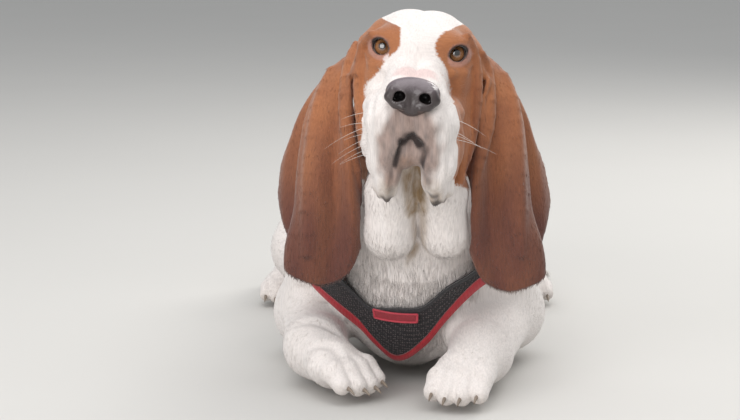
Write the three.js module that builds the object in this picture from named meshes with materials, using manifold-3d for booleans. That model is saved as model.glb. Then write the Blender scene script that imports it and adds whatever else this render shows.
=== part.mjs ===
// A basset hound lying on its chest with its head raised, life size, wearing a chest harness.
// Millimetres, +Z up. The hound faces -Y and its left side is +X. It rests on Z = 0.
import * as THREE from "three";
import { triTable } from "three/addons/objects/MarchingCubes.js";
import { mergeVertices } from "three/addons/utils/BufferGeometryUtils.js";
import Module from "manifold-3d";

const wasm = await Module();
wasm.setup();

// Driving dimensions
const GAP = 0.3; // clearance between two neighbouring pieces
const EYE_PLACE = [6, -112, 372]; // the point midway between the eyes
const HEAD_PITCH = 2; // degrees, nose up
const HEAD_TURN = -3; // degrees, nose towards the hound's right
const HEAD_ROLL = 5; // degrees, crown towards the hound's left
const EYE_SPREAD = 36.5; // each eye from the middle of the face
const EYE_RADIUS = 11.8;
const CHEST_WIDTH = 224;
const BACK_HEIGHT = 264;
const RUMP_REACH = 590; // rear of the buttocks along Y
const EAR_TOP = 376;
const EAR_LENGTH = 256;
const EAR_THICKNESS = 5;
const STRAP_THICKNESS = 2.6;

const radians = THREE.MathUtils.degToRad;
const SIDES = { left: 1, right: -1 };
const minus = (a, b) => a.map((value, i) => value - b[i]);

// Distance functions. Each is negative inside its form.
const ellipsoid = ([cx, cy, cz], [rx, ry, rz]) => (x, y, z) => {
  const [u, v, w] = [(x - cx) / rx, (y - cy) / ry, (z - cz) / rz];
  const near = Math.hypot(u, v, w);
  const slope = Math.hypot(u / rx, v / ry, w / rz);
  return slope < 1e-9 ? -Math.min(rx, ry, rz) : (near * (near - 1)) / slope;
};

const limb = ([ax, ay, az], ra, [bx, by, bz], rb) => (x, y, z) => {
  const [dx, dy, dz] = [bx - ax, by - ay, bz - az];
  const along = ((x - ax) * dx + (y - ay) * dy + (z - az) * dz) / (dx * dx + dy * dy + dz * dz);
  const t = Math.min(1, Math.max(0, along));
  return Math.hypot(x - ax - t * dx, y - ay - t * dy, z - az - t * dz) - ra - t * (rb - ra);
};

const chain = (...beads) =>
  beads.slice(1).map(([point, radius], i) => limb(beads[i][0], beads[i][1], point, radius));

const soften = (a, b, k) => {
  const h = Math.max(k - Math.abs(a - b), 0) / k;
  return Math.min(a, b) - (h * h * k) / 4;
};

const melt = (k, ...forms) => (x, y, z) => {
  let d = forms[0](x, y, z);
  for (let i = 1; i < forms.length; i++) d = soften(d, forms[i](x, y, z), k);
  return d;
};

const nearest = (...forms) => (x, y, z) => Math.min(...forms.map((form) => form(x, y, z)));

const mirrored = (form) => (x, y, z) => form(Math.abs(x), y, z);

const placed = (form, matrix) => {
  const e = matrix.clone().invert().elements;
  return (x, y, z) =>
    form(
      e[0] * x + e[4] * y + e[8] * z + e[12],
      e[1] * x + e[5] * y + e[9] * z + e[13],
      e[2] * x + e[6] * y + e[10] * z + e[14],
    );
};

// Head, in its own frame: the origin is midway between the eyes, y runs back and z up
const headPlace = new THREE.Matrix4().compose(
  new THREE.Vector3(...EYE_PLACE),
  new THREE.Quaternion().setFromEuler(
    new THREE.Euler(radians(-HEAD_PITCH), radians(HEAD_ROLL), radians(HEAD_TURN), "ZYX"),
  ),
  new THREE.Vector3(1, 1, 1),
);
const eyeCentre = (sign) => [sign * EYE_SPREAD, 9, -1];

const skull = melt(
  18,
  ellipsoid([0, 54, -7], [58, 66, 42]),
  mirrored(ellipsoid([14, 46, 12], [30, 50, 27])),
  ellipsoid([0, 112, 2], [17, 24, 18]),
  ellipsoid([0, 14, -1], [42, 34, 24]),
  mirrored(ellipsoid([42, 40, -30], [19, 46, 30])),
  mirrored(ellipsoid([34, 60, -60], [26, 44, 36])),
);
const brows = mirrored(ellipsoid([34, 3, 13], [17, 12, 8]));
const bridge = mirrored(limb([13, -2, -28], 20, [12, -96, -37], 18));
const muzzle = melt(
  14,
  bridge,
  ellipsoid([0, -52, -58], [38, 60, 36]),
  mirrored(ellipsoid([20, -84, -66], [25, 32, 30])),
);

// Loose skin hangs straight down, so the lower it is the more it is shifted against the head's roll.
const LIP_LEVEL = -60;
const hung = (sign, [x, y, z]) => [
  sign * x + Math.tan(radians(HEAD_ROLL)) * Math.max(0, LIP_LEVEL - z),
  y,
  z,
];
const flewRows = [
  [[[18, -92, -70], 18], [[22, -94, -98], 12], [[21, -89, -124], 11]],
  [[[27, -76, -70], 20], [[28, -79, -106], 14], [[25, -76, -138], 11]],
  [[[31, -50, -66], 20], [[32, -53, -104], 14], [[31, -53, -135], 12]],
  [[[34, -20, -62], 20], [[36, -25, -96], 14], [[35, -28, -118], 12]],
  [[[36, 10, -60], 20], [[38, 3, -84], 14], [[38, -2, -99], 12]],
];
const flew = (sign) =>
  melt(16, ...flewRows.flatMap((row) => chain(...row.map(([p, r]) => [hung(sign, p), r]))));
const cheekFold = (sign, drop) =>
  melt(
    10,
    ...chain(
      [[sign * 46, 26, -46], 17],
      [hung(sign, [47, 6, -84]), 13],
      [hung(sign, [46, -14, -84 - drop]), 8],
    ),
  );
const jaw = melt(
  10,
  limb([0, -82, -98], 13, [0, -20, -88], 24),
  limb([0, -20, -88], 24, [0, 44, -78], 34),
  ellipsoid([0, -92, -98], [15, 12, 15]),
);
const eyeMounds = mirrored(ellipsoid([EYE_SPREAD, 9, -1], [17, 16, 15.5]));
const earBases = mirrored(
  melt(6, ...chain([[42, 42, 13], 12], [[53, 36, 0], 12], [[58, 28, -26], 9], [[57, 22, -52], 5])),
);
const headForm = melt(
  7,
  melt(14, melt(16, skull, muzzle), flew(1), flew(-1), brows, earBases),
  jaw,
  eyeMounds,
  cheekFold(1, 44),
  cheekFold(-1, 24),
);
const head = placed(headForm, headPlace);

// Neck, with the loose skin of the throat in two lobes
const neck = melt(
  30,
  limb([3, -6, 330], 58, [0, 78, 200], 88),
  limb([3, -78, 268], 42, [0, -10, 160], 70),
);
const dewlap = melt(
  5,
  melt(14, ...chain([[-12, -122, 268], 22], [[-22, -110, 226], 27], [[-24, -98, 180], 30])),
  melt(14, ...chain([[16, -118, 268], 22], [[28, -108, 226], 27], [[33, -98, 180], 28])),
);

// Torso
const torso = melt(
  40,
  ellipsoid([0, 182, 130], [CHEST_WIDTH / 2, 200, BACK_HEIGHT - 132]),
  ellipsoid([0, 112, 210], [54, 96, 60]),
  ellipsoid([0, 18, 108], [82, 76, 94]),
  ellipsoid([0, 340, 124], [CHEST_WIDTH / 2 - 12, 170, 126]),
  ellipsoid([0, RUMP_REACH - 112, 132], [94, 110, 110]),
);
const trunk = melt(34, torso, neck);

// Forelegs: the left one reaches forward, the right one is tucked inward at the wrist
const forelegs = {
  left: {
    shoulder: [80, 26, 156],
    elbow: [108, 116, 54],
    wrist: [74, -58, 42],
    paw: [56, -112, 33],
    toes: [42, -160, 18],
  },
  right: {
    shoulder: [-80, 26, 156],
    elbow: [-108, 116, 54],
    wrist: [-104, -34, 44],
    paw: [-84, -82, 36],
    toes: [-52, -116, 19],
  },
};

const toesOf = ({ paw, toes }, spread, count = 4) => {
  const ahead = new THREE.Vector3(...toes).sub(new THREE.Vector3(...paw));
  const across = new THREE.Vector3(-ahead.y, ahead.x, 0).normalize();
  return Array.from({ length: count }, (_, i) => {
    const place = (i - (count - 1) / 2) / ((count - 1) / 2);
    const reach = 1 - 0.16 * place * place;
    const base = new THREE.Vector3(...paw).addScaledVector(across, place * spread * 0.72);
    const tip = new THREE.Vector3(...paw)
      .addScaledVector(ahead, reach)
      .addScaledVector(across, place * spread);
    const knuckle = base.clone().lerp(tip, 0.62).setZ(paw[2] - 3);
    return { base, knuckle, tip, heading: ahead.clone().setZ(0).normalize() };
  });
};

const FORE_TOES = { spread: 24, radii: [16, 14.5, 12] };
const HIND_TOES = { spread: 20, radii: [13, 12, 10] };
const digitsOf = (leg, { spread, radii }) =>
  melt(
    2.5,
    ...toesOf(leg, spread).map(({ base, knuckle, tip }) =>
      melt(4, ...chain(...[base, knuckle, tip].map((point, i) => [point.toArray(), radii[i]]))),
    ),
  );

const forelegForm = (leg) => {
  const arm = melt(26, limb(leg.shoulder, 46, leg.elbow, 43), limb(leg.elbow, 40, leg.wrist, 33));
  const hand = limb(leg.wrist, 33, leg.paw, 29);
  return melt(16, arm, melt(9, hand, digitsOf(leg, FORE_TOES)));
};

// Hind legs, folded beside the rump
const hindlegs = {
  left: {
    hip: [74, 496, 146],
    knee: [124, 396, 76],
    hock: [146, 544, 30],
    paw: [156, 450, 24],
    toes: [158, 406, 14],
  },
  right: {
    hip: [-74, 496, 146],
    knee: [-124, 396, 76],
    hock: [-144, 544, 30],
    paw: [-152, 448, 24],
    toes: [-156, 402, 14],
  },
};

const hindlegForm = (leg) => {
  const side = Math.sign(leg.hip[0]);
  const thigh = melt(
    34,
    ellipsoid([side * 100, 472, 98], [46, 102, 84]),
    limb(leg.hip, 50, leg.knee, 40),
    limb(leg.knee, 34, leg.hock, 24),
  );
  return melt(12, thigh, melt(7, limb(leg.hock, 21, leg.paw, 22), digitsOf(leg, HIND_TOES)));
};

// Tail, round the left hip and on the floor
const TAIL = [
  [[0, 548, 186], 30],
  [[4, 588, 140], 22],
  [[18, 622, 76], 18],
  [[46, 644, 32], 15],
  [[96, 652, 15], 12],
  [[148, 634, 11], 9],
  [[186, 594, 8], 6],
];
const tail = melt(12, ...chain(...TAIL));

const foreForms = { left: forelegForm(forelegs.left), right: forelegForm(forelegs.right) };
const hindForms = { left: hindlegForm(hindlegs.left), right: hindlegForm(hindlegs.right) };
const legs = nearest(...Object.values(foreForms), ...Object.values(hindForms));
const flesh = melt(
  10,
  melt(24, trunk, legs),
  melt(20, head, limb([3, -2, 326], 54, [3, -20, 300], 54)),
  dewlap,
);

// Surfaces: a closed mesh of a form on a grid whose lines may be spaced unevenly
const ticks = (start, ...spans) => {
  const lines = [start];
  for (const [to, step] of spans) {
    const from = lines[lines.length - 1];
    const count = Math.max(1, Math.round((to - from) / step));
    for (let i = 1; i <= count; i++) lines.push(from + ((to - from) * i) / count);
  }
  return lines;
};

// The corners and edges of a cell of the grid, in the order that triTable counts them
const SQUARE = [[0, 0], [1, 0], [1, 1], [0, 1]];
const CORNERS = [0, 1].flatMap((z) => SQUARE.map(([x, y]) => [x, y, z]));
const EDGES = [
  ...[0, 4].flatMap((first) => SQUARE.map((_, n) => [first + n, first + ((n + 1) % 4)])),
  ...SQUARE.map((_, n) => [n, n + 4]),
];

// The edges of one cell that each of its surface patches crosses.
const patchesOf = (code) => {
  const patches = [];
  for (let i = code * 16; triTable[i] >= 0 && i < code * 16 + 16; i += 3) {
    const corner = new Set([triTable[i], triTable[i + 1], triTable[i + 2]]);
    const joined = patches.filter((patch) => [...corner].some((edge) => patch.has(edge)));
    joined.forEach((patch) => {
      patch.forEach((edge) => corner.add(edge));
      patches.splice(patches.indexOf(patch), 1);
    });
    patches.push(corner);
  }
  return patches;
};

const slopeOf = (form, { x, y, z }, e = 0.5) =>
  new THREE.Vector3(
    form(x + e, y, z) - form(x - e, y, z),
    form(x, y + e, z) - form(x, y - e, z),
    form(x, y, z + e) - form(x, y, z - e),
  ).divideScalar(2 * e);

// Moves a point onto the surface of a form at a level, by at most the given reach.
const drawn = (form, point, level, reach) => {
  const slope = slopeOf(form, point);
  const step = (level - form(point.x, point.y, point.z)) / Math.max(0.25, slope.lengthSq());
  return point.addScaledVector(slope, THREE.MathUtils.clamp(step, -reach, reach));
};

const skinOf = (form, [xs, ys, zs], level = 0) => {
  const [nx, ny, nz] = [xs.length, ys.length, zs.length];
  const at = (i, j, k) => i + nx * (j + ny * k);
  const onBorder = (n, count) => n === 0 || n === count - 1;
  const field = new Float64Array(nx * ny * nz);
  for (let k = 0; k < nz; k++)
    for (let j = 0; j < ny; j++)
      for (let i = 0; i < nx; i++) {
        const closed = onBorder(i, nx) || onBorder(j, ny) || onBorder(k, nz);
        const value = form(xs[i], ys[j], zs[k]) - level;
        field[at(i, j, k)] = closed ? Math.max(value, 1) : value;
      }
  const points = [];
  const corners = new Map(); // edge of the grid to the vertex of each cell around it
  for (let k = 0; k < nz - 1; k++)
    for (let j = 0; j < ny - 1; j++)
      for (let i = 0; i < nx - 1; i++) {
        const values = CORNERS.map(([a, b, c]) => field[at(i + a, j + b, k + c)]);
        const code = values.reduce((sum, value, n) => sum + (value < 0 ? 1 << n : 0), 0);
        if (code === 0 || code === 255) continue;
        const inner = ![i, j, k].some((n, axis) => onBorder(n, [nx, ny, nz][axis] - 1));
        const cell = Math.min(xs[i + 1] - xs[i], ys[j + 1] - ys[j], zs[k + 1] - zs[k]);
        for (const patch of patchesOf(code)) {
          const middle = new THREE.Vector3();
          for (const edge of patch) {
            const [from, to] = EDGES[edge].map((n) => CORNERS[n]);
            const [f, g] = EDGES[edge].map((n) => values[n]);
            const [a, b] = [from, to].map(
              (c) => new THREE.Vector3(xs[i + c[0]], ys[j + c[1]], zs[k + c[2]]),
            );
            middle.add(a.lerp(b, f / (f - g)));
            const low = [0, 1, 2].map((n) => Math.min(from[n], to[n]));
            const axis = [0, 1, 2].find((n) => from[n] !== to[n]);
            const key = at(i + low[0], j + low[1], k + low[2]) * 3 + axis;
            if (!corners.has(key)) corners.set(key, new Map());
            const others = [0, 1, 2].filter((n) => n !== axis);
            corners.get(key).set(others.map((n) => 1 - low[n]).join(""), points.length / 3);
          }
          middle.divideScalar(patch.size);
          if (inner) drawn(form, middle, level, cell / 4);
          points.push(middle.x, middle.y, middle.z);
        }
      }
  const faces = [];
  for (const [key, round] of corners) {
    const axis = key % 3;
    const from = (key - axis) / 3;
    const ring = ["00", "10", "11", "01"].map((place) => round.get(place));
    const outward = (field[from] < 0) === (axis !== 1);
    const [a, b, c, d] = outward ? ring : [...ring].reverse();
    faces.push(a, b, c, a, c, d);
  }
  return surfaceOf(points, faces);
};

const surfaceOf = (points, faces) => {
  const geometry = new THREE.BufferGeometry();
  geometry.setAttribute("position", new THREE.Float32BufferAttribute(points, 3));
  geometry.setIndex(faces);
  return geometry;
};

const swollen = (geometry, by) => {
  geometry.computeVertexNormals();
  const { position, normal } = geometry.attributes;
  for (let i = 0; i < position.count * 3; i++) position.array[i] += normal.array[i] * by;
  return geometry;
};

// Solids, which are joined and cut
const solidOf = (geometry) => {
  const bare = geometry.clone();
  bare.deleteAttribute("normal");
  bare.deleteAttribute("uv");
  const merged = mergeVertices(bare, 1e-4);
  return new wasm.Manifold(
    new wasm.Mesh({
      numProp: 3,
      vertProperties: new Float32Array(merged.attributes.position.array),
      triVerts: new Uint32Array(merged.index.array),
    }),
  );
};

// The positions of a geometry alone, with the corners that meet made one.
const stripped = (geometry) => {
  geometry.deleteAttribute("normal");
  geometry.deleteAttribute("uv");
  return mergeVertices(geometry, 1e-3);
};

const largest = (solid) =>
  solid.decompose().reduce((best, piece) => (piece.volume() > best.volume() ? piece : best));

const geometryOf = (solid) => {
  const { vertProperties, triVerts, numProp } = solid.getMesh();
  const points = [];
  for (let i = 0; i < vertProperties.length; i += numProp)
    points.push(...vertProperties.slice(i, i + 3));
  return surfaceOf(points, [...triVerts]).toNonIndexed();
};

const block = ([x0, y0, z0], [x1, y1, z1]) =>
  solidOf(
    new THREE.BoxGeometry(x1 - x0, y1 - y0, z1 - z0).translate(
      (x0 + x1) / 2,
      (y0 + y1) / 2,
      (z0 + z1) / 2,
    ),
  );

const ball = (centre, radii, matrix = new THREE.Matrix4(), around = 20) =>
  solidOf(
    new THREE.SphereGeometry(1, around, Math.round(around * 0.6))
      .scale(...radii)
      .translate(...centre)
      .applyMatrix4(matrix),
  );

// A half space as a large block, on the side of the plane that the normal points to.
const beyond = (point, normal, shift = 0) => {
  const reach = 1500;
  const direction = new THREE.Vector3(...normal).normalize();
  const turn = new THREE.Quaternion().setFromUnitVectors(new THREE.Vector3(0, 0, 1), direction);
  return solidOf(
    new THREE.BoxGeometry(reach, reach, reach)
      .translate(0, 0, reach / 2 + shift)
      .applyQuaternion(turn)
      .translate(...point),
  );
};
const opposite = (normal) => minus([0, 0, 0], normal);
const aboveFloor = beyond([0, 0, 0], [0, 0, 1]);

// Where the flesh is parted into nodes. Lines of a grid are closer where the form is finer.
const NAPE = { point: [3, -30, 315], normal: [0, -0.73, 0.68] };
const COLLAR = { point: [0, 28, 215], normal: [0, -0.78, 0.63] };
const GRIDS = {
  head: [
    ticks(-98, [-56, 16], [58, 10.5], [100, 16]),
    ticks(-262, [-100, 12], [48, 22]),
    ticks(200, [350, 10.5], [440, 18]),
  ],
  neck: [ticks(-136, [136, 20]), ticks(-166, [-60, 15], [150, 30]), ticks(120, [400, 20])],
  torso: [ticks(-144, [144, 28]), ticks(-90, [80, 28], [640, 46]), ticks(-28, [312, 28])],
  foreleg: [ticks(0, [190, 18]), ticks(-80, [200, 23]), ticks(-20, [250, 20])],
  forepaw: [ticks(0, [150, 10.5]), ticks(-204, [10, 10.5]), ticks(-12, [98, 10])],
  hindleg: [ticks(50, [220, 23]), ticks(320, [640, 28]), ticks(-24, [220, 24])],
  hindpaw: [ticks(96, [220, 11.5]), ticks(370, [560, 14]), ticks(-12, [64, 10])],
  foreCut: [ticks(-20, [220, 34]), ticks(-260, [240, 40]), ticks(-40, [260, 34])],
  hindCut: [ticks(20, [240, 34]), ticks(300, [660, 40]), ticks(-40, [240, 34])],
  tail: [ticks(-40, [220, 16]), ticks(530, [680, 15]), ticks(-16, [230, 18])],
  nose: [ticks(-44, [50, 6.8]), ticks(-262, [-180, 6.8]), ticks(296, [384, 6.8])],
};
const gridFor = (name, sign = 1) => {
  const [xs, ys, zs] = GRIDS[name];
  return [sign > 0 ? xs : xs.map((x) => -x).reverse(), ys, zs];
};
const FOOT = { inner: 98, top: 47 };

// The space that is nearer to one form than to another.
const nearer = (form, other) => (x, y, z) => (form(x, y, z) - other(x, y, z)) / 2;
const otherSide = { left: "right", right: "left" };
const legCutter = (kind, name, swell = 0) => {
  const [forms, grid] = kind === "fore" ? [foreForms, "foreCut"] : [hindForms, "hindCut"];
  const rest = nearest(trunk, forms[otherSide[name]]);
  return solidOf(swollen(skinOf(nearer(forms[name], rest), gridFor(grid, SIDES[name])), swell));
};

// Parts the flesh. A positive slit leaves that much room between two nodes. With a negative one they
// overlap, and the neck and torso keep what the legs fill.
const parted = (slit, swell = 0) => {
  const cast = (name, sign = 1) =>
    solidOf(swollen(skinOf(flesh, gridFor(name, sign)), swell)).intersect(aboveFloor);
  const side = ({ point, normal }) => beyond(point, normal, slit / 2);
  const flip = ({ point, normal }) => ({ point, normal: opposite(normal) });
  const nodes = {
    head: cast("head").intersect(side(NAPE)),
    neck: cast("neck").intersect(side(flip(NAPE))).intersect(side(COLLAR)),
    torso: cast("torso").intersect(side(flip(COLLAR))),
  };
  for (const [name, sign] of Object.entries(SIDES)) {
    const [fore, hind] = [forelegs[name], hindlegs[name]];
    const wrist = { point: fore.wrist, normal: minus(fore.wrist, fore.elbow) };
    const heel = { point: [0, hind.hock[1] - 34, 0], normal: [0, -1, 0] };
    const footBox = (grow) =>
      sign > 0
        ? block([FOOT.inner - grow, 300, -50], [300, heel.point[1] + grow, FOOT.top + grow])
        : block([-300, 300, -50], [grow - FOOT.inner, heel.point[1] + grow, FOOT.top + grow]);
    const leg = legCutter("fore", name);
    const haunch = legCutter("hind", name);
    nodes["foreleg_" + name] = cast("foreleg", sign).intersect(leg).intersect(side(flip(wrist)));
    nodes["forepaw_" + name] = cast("forepaw", sign).intersect(leg).intersect(side(wrist));
    nodes["hindleg_" + name] = cast("hindleg", sign).intersect(haunch).subtract(footBox(slit));
    nodes["hindpaw_" + name] = cast("hindpaw", sign).intersect(haunch).intersect(footBox(0));
    if (slit < 0) continue;
    for (const trimmed of ["neck", "torso"])
      nodes[trimmed] = nodes[trimmed].subtract(legCutter("fore", name, slit));
    nodes.torso = nodes.torso.subtract(legCutter("hind", name, slit));
  }
  return nodes;
};

// A closed sheet through a grid of points, half of its thickness on each side
const sheetOf = (rowsOfPoints, thickness, ring = false) => {
  const [rows, columns] = [rowsOfPoints.length, rowsOfPoints[0].length];
  const round = (i) => (ring ? (i + columns) % columns : Math.min(columns - 1, Math.max(0, i)));
  const cell = (i, j) => rowsOfPoints[Math.min(rows - 1, Math.max(0, j))][round(i)];
  const points = [];
  for (const face of [1, -1])
    for (let j = 0; j < rows; j++)
      for (let i = 0; i < columns; i++) {
        const down = cell(i, j + 1).clone().sub(cell(i, j - 1));
        const out = cell(i + 1, j).clone().sub(cell(i - 1, j)).cross(down).normalize();
        const reach = face * thickness(i / (columns - 1), j / (rows - 1));
        points.push(...cell(i, j).clone().addScaledVector(out, reach).toArray());
      }
  const id = (i, j, back) => back * rows * columns + j * columns + round(i);
  const faces = [];
  const quad = (a, b, c, d) => faces.push(a, c, b, a, d, c);
  const across = ring ? columns : columns - 1;
  for (let i = 0; i < across; i++) {
    for (let j = 0; j < rows - 1; j++) {
      quad(id(i, j, 0), id(i, j + 1, 0), id(i + 1, j + 1, 0), id(i + 1, j, 0));
      faces.push(id(i, j, 1), id(i, j + 1, 1), id(i + 1, j + 1, 1));
      faces.push(id(i, j, 1), id(i + 1, j + 1, 1), id(i + 1, j, 1));
    }
    quad(id(i, 0, 0), id(i + 1, 0, 0), id(i + 1, 0, 1), id(i, 0, 1));
    quad(id(i + 1, rows - 1, 0), id(i, rows - 1, 0), id(i, rows - 1, 1), id(i + 1, rows - 1, 1));
  }
  const last = columns - 1;
  for (let j = 0; j < rows - 1 && !ring; j++) {
    quad(id(0, j + 1, 0), id(0, j, 0), id(0, j, 1), id(0, j + 1, 1));
    quad(id(last, j, 0), id(last, j + 1, 0), id(last, j + 1, 1), id(last, j, 1));
  }
  return surfaceOf(points, faces);
};
const turnedOut = (geometry) => {
  const solid = solidOf(geometry);
  if (solid.volume() > 0) return solid;
  const order = geometry.index.array;
  for (let i = 0; i < order.length; i += 3)
    [order[i + 1], order[i + 2]] = [order[i + 2], order[i + 1]];
  return solidOf(geometry);
};

// Ears: a long leaf that hangs in folds. Each crease runs down it, from its front edge to its rear edge.
const EAR_HEIGHTS = [376, 358, 335, 300, 250, 200, 165, 114];
const EAR_CREASES = {
  frontEdge: {
    x: [36, 50, 58, 58, 52, 48, 50, 60],
    y: [-72, -80, -86, -90, -96, -100, -102, -98],
  },
  rolledCrest: {
    x: [38, 58, 67, 67, 62, 58, 60, 66],
    y: [-66, -78, -92, -102, -112, -116, -114, -104],
  },
  groove: {
    x: [40, 62, 73, 77, 76, 74, 78, 84],
    y: [-58, -68, -78, -88, -98, -104, -106, -102],
  },
  panel: {
    x: [43, 71, 87, 93, 95, 97, 104, 106],
    y: [-50, -60, -72, -86, -106, -114, -114, -106],
  },
  outerFold: {
    x: [44, 78, 97, 109, 114, 117, 129, 132],
    y: [-42, -50, -58, -70, -86, -96, -98, -96],
  },
  tuck: {
    x: [42, 74, 94, 106, 109, 113, 125, 130],
    y: [-34, -40, -44, -50, -58, -68, -76, -82],
  },
  rearLobe: {
    x: [38, 67, 94, 115, 128, 133, 133, 131],
    y: [-26, -30, -34, -38, -44, -54, -64, -72],
  },
  rearEdge: {
    x: [32, 52, 76, 105, 133, 141, 137, 133],
    y: [-16, -18, -22, -24, -30, -40, -50, -60],
  },
};
const EAR_SWAY = { left: [0, 7], right: [7, 3] }; // further out at mid length and at the tip
const EAR_LIFT = { left: 0, right: 7 }; // how much shorter it hangs
const valueAt = (values, z) => {
  let i = 0;
  while (i < EAR_HEIGHTS.length - 2 && z < EAR_HEIGHTS[i + 1]) i++;
  const t = (EAR_HEIGHTS[i] - z) / (EAR_HEIGHTS[i] - EAR_HEIGHTS[i + 1]);
  return THREE.MathUtils.lerp(values[i], values[i + 1], THREE.MathUtils.clamp(t, 0, 1));
};
const smoothAt = (values, z) =>
  [-14, -7, 0, 7, 14].reduce((sum, shift) => sum + valueAt(values, z + shift), 0) / 5;
const hemOf = (u) => {
  const lowest = 0.36;
  const share = u < lowest ? 1 - u / lowest : (u - lowest) / (1 - lowest);
  const rise = u < lowest ? 52 * Math.pow(share, 2.2) : 84 * Math.pow(share, 1.6);
  return EAR_TOP - EAR_LENGTH + rise;
};
const earPoint = (name, u, v) => {
  const z = THREE.MathUtils.lerp(EAR_TOP, hemOf(u) + EAR_LIFT[name], v);
  const creases = Object.values(EAR_CREASES).map(
    ({ x, y }) => new THREE.Vector3(smoothAt(x, z), smoothAt(y, z), z),
  );
  const point = new THREE.CatmullRomCurve3(creases, false, "centripetal").getPoint(u);
  const [middle, tip] = EAR_SWAY[name];
  const sway = middle * Math.sin(Math.PI * v) + tip * v * v;
  point.x = EYE_PLACE[0] * (1 - v) + SIDES[name] * (point.x + sway);
  return point;
};
// Near its top an ear sinks into the head, and lower down it stays clear of the flesh.
const earRoom = (v) => {
  const rooted = 1 - THREE.MathUtils.smoothstep(v, 0.04, 0.18);
  return (EAR_THICKNESS / 2 + 2.5) * (1 - rooted) - 14 * rooted;
};
const earSolid = (name, columns = 15, rows = 12) => {
  const grid = Array.from({ length: rows }, (_, j) =>
    Array.from({ length: columns }, (_, i) => {
      const v = j / (rows - 1);
      const point = earPoint(name, i / (columns - 1), v);
      for (let n = 0; n < 4; n++) {
        const short = earRoom(v) - flesh(point.x, point.y, point.z);
        if (short > 0) point.addScaledVector(slopeOf(flesh, point).setZ(0).normalize(), short);
      }
      return point;
    }),
  );
  const thickness = (u, v) => (EAR_THICKNESS / 2) * (u === 0 || u === 1 || v === 1 ? 0.45 : 1);
  return turnedOut(sheetOf(grid, thickness));
};

// Nose pad with its nostrils
const noseForm = placed(
  melt(
    6,
    ellipsoid([0, -108, -34], [26, 14, 14]),
    mirrored(ellipsoid([13, -109, -40], [13.5, 15, 13])),
    ellipsoid([0, -112, -50], [7, 10, 9]),
  ),
  headPlace,
);
const nostrils = (solid) =>
  Object.values(SIDES).reduce(
    (cut, sign) => cut.subtract(ball([sign * 13, -124, -39.5], [6, 9, 5.2], headPlace, 12)),
    solid,
  );

// Line of the mouth: a groove up from each corner of the chin to its peak under the nose
const MOUTH_LINE = [
  [-17, -96, -108],
  [-11, -104, -92],
  [0, -110, -80],
  [11, -104, -92],
  [17, -96, -108],
];
const groove = (points, radius, steps) => {
  const path = new THREE.CatmullRomCurve3(points.map((p) => new THREE.Vector3(...p)));
  const section = new THREE.Shape().absarc(0, 0, radius, 0, 2 * Math.PI);
  const tube = new THREE.ExtrudeGeometry(section, {
    extrudePath: path,
    steps,
    curveSegments: 3,
    bevelEnabled: false,
  });
  return turnedOut(stripped(tube).applyMatrix4(headPlace));
};

// Claws, one on each toe
const clawed = (paw, leg, { spread, radii }) =>
  toesOf(leg, spread).reduce((solid, { tip, heading }) => {
    const length = 13;
    const claw = stripped(new THREE.ConeGeometry(3.6, length, 6))
      .rotateX(-Math.PI / 2)
      .applyQuaternion(
        new THREE.Quaternion().setFromUnitVectors(
          new THREE.Vector3(0, 0, -1),
          heading.clone().setZ(-0.35).normalize(),
        ),
      )
      .translate(...tip.clone().addScaledVector(heading, radii[2] + 0.5).toArray());
    return solid.add(turnedOut(claw).intersect(aboveFloor));
  }, paw);

// Harness: a vest round the base of the neck with a red edge, a girth strap, a strap along the back,
// a blank label, two buckles and a ring
const harnessed = melt(
  60,
  trunk,
  ...Object.values(forelegs).map(({ shoulder, elbow }) => limb(shoulder, 46, elbow, 43)),
);
const laid = (guide, room) => {
  const point = guide.clone();
  for (let n = 0; n < 6; n++) drawn(harnessed, point, room, 12);
  return point;
};
const loopOf = (points) =>
  new THREE.CatmullRomCurve3(points.map((p) => new THREE.Vector3(...p)), true, "centripetal");
const NECKLINE = loopOf([
  [-16, -59, 92],
  [-42, -48, 91],
  [-56, -42, 104],
  [-66, -34, 118],
  [-80, -8, 152],
  [-78, 30, 200],
  [-48, 68, 242],
  [0, 84, 268],
  [48, 68, 242],
  [78, 30, 200],
  [78, -8, 158],
  [58, -48, 128],
  [34, -62, 114],
  [10, -61, 94],
]);
const VEST_EDGE = loopOf([
  [-16, -30, 32],
  [-36, -33, 52],
  [-52, -31, 72],
  [-72, -14, 92],
  [-94, 2, 116],
  [-104, 36, 180],
  [-60, 98, 246],
  [0, 112, 270],
  [60, 98, 246],
  [102, 36, 182],
  [86, -10, 140],
  [62, -40, 116],
  [36, -50, 86],
  [12, -44, 54],
]);
const TRIM_WIDTH = 7;
const GIRTH = { y: 196, width: 26 };
const LABEL = { x: [-42, 5], z: [78, 89], thickness: 1.8 };
const VEST_STEPS = 42;
const STRAP_ROOM = STRAP_THICKNESS / 2 + 2.4;
const aboveGround = beyond([0, 0, 1], [0, 0, 1]);
const spread = (from, to, count) =>
  Array.from({ length: count }, (_, i) => from + ((to - from) * i) / (count - 1));
const flat = (thickness) => () => thickness / 2;

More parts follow.
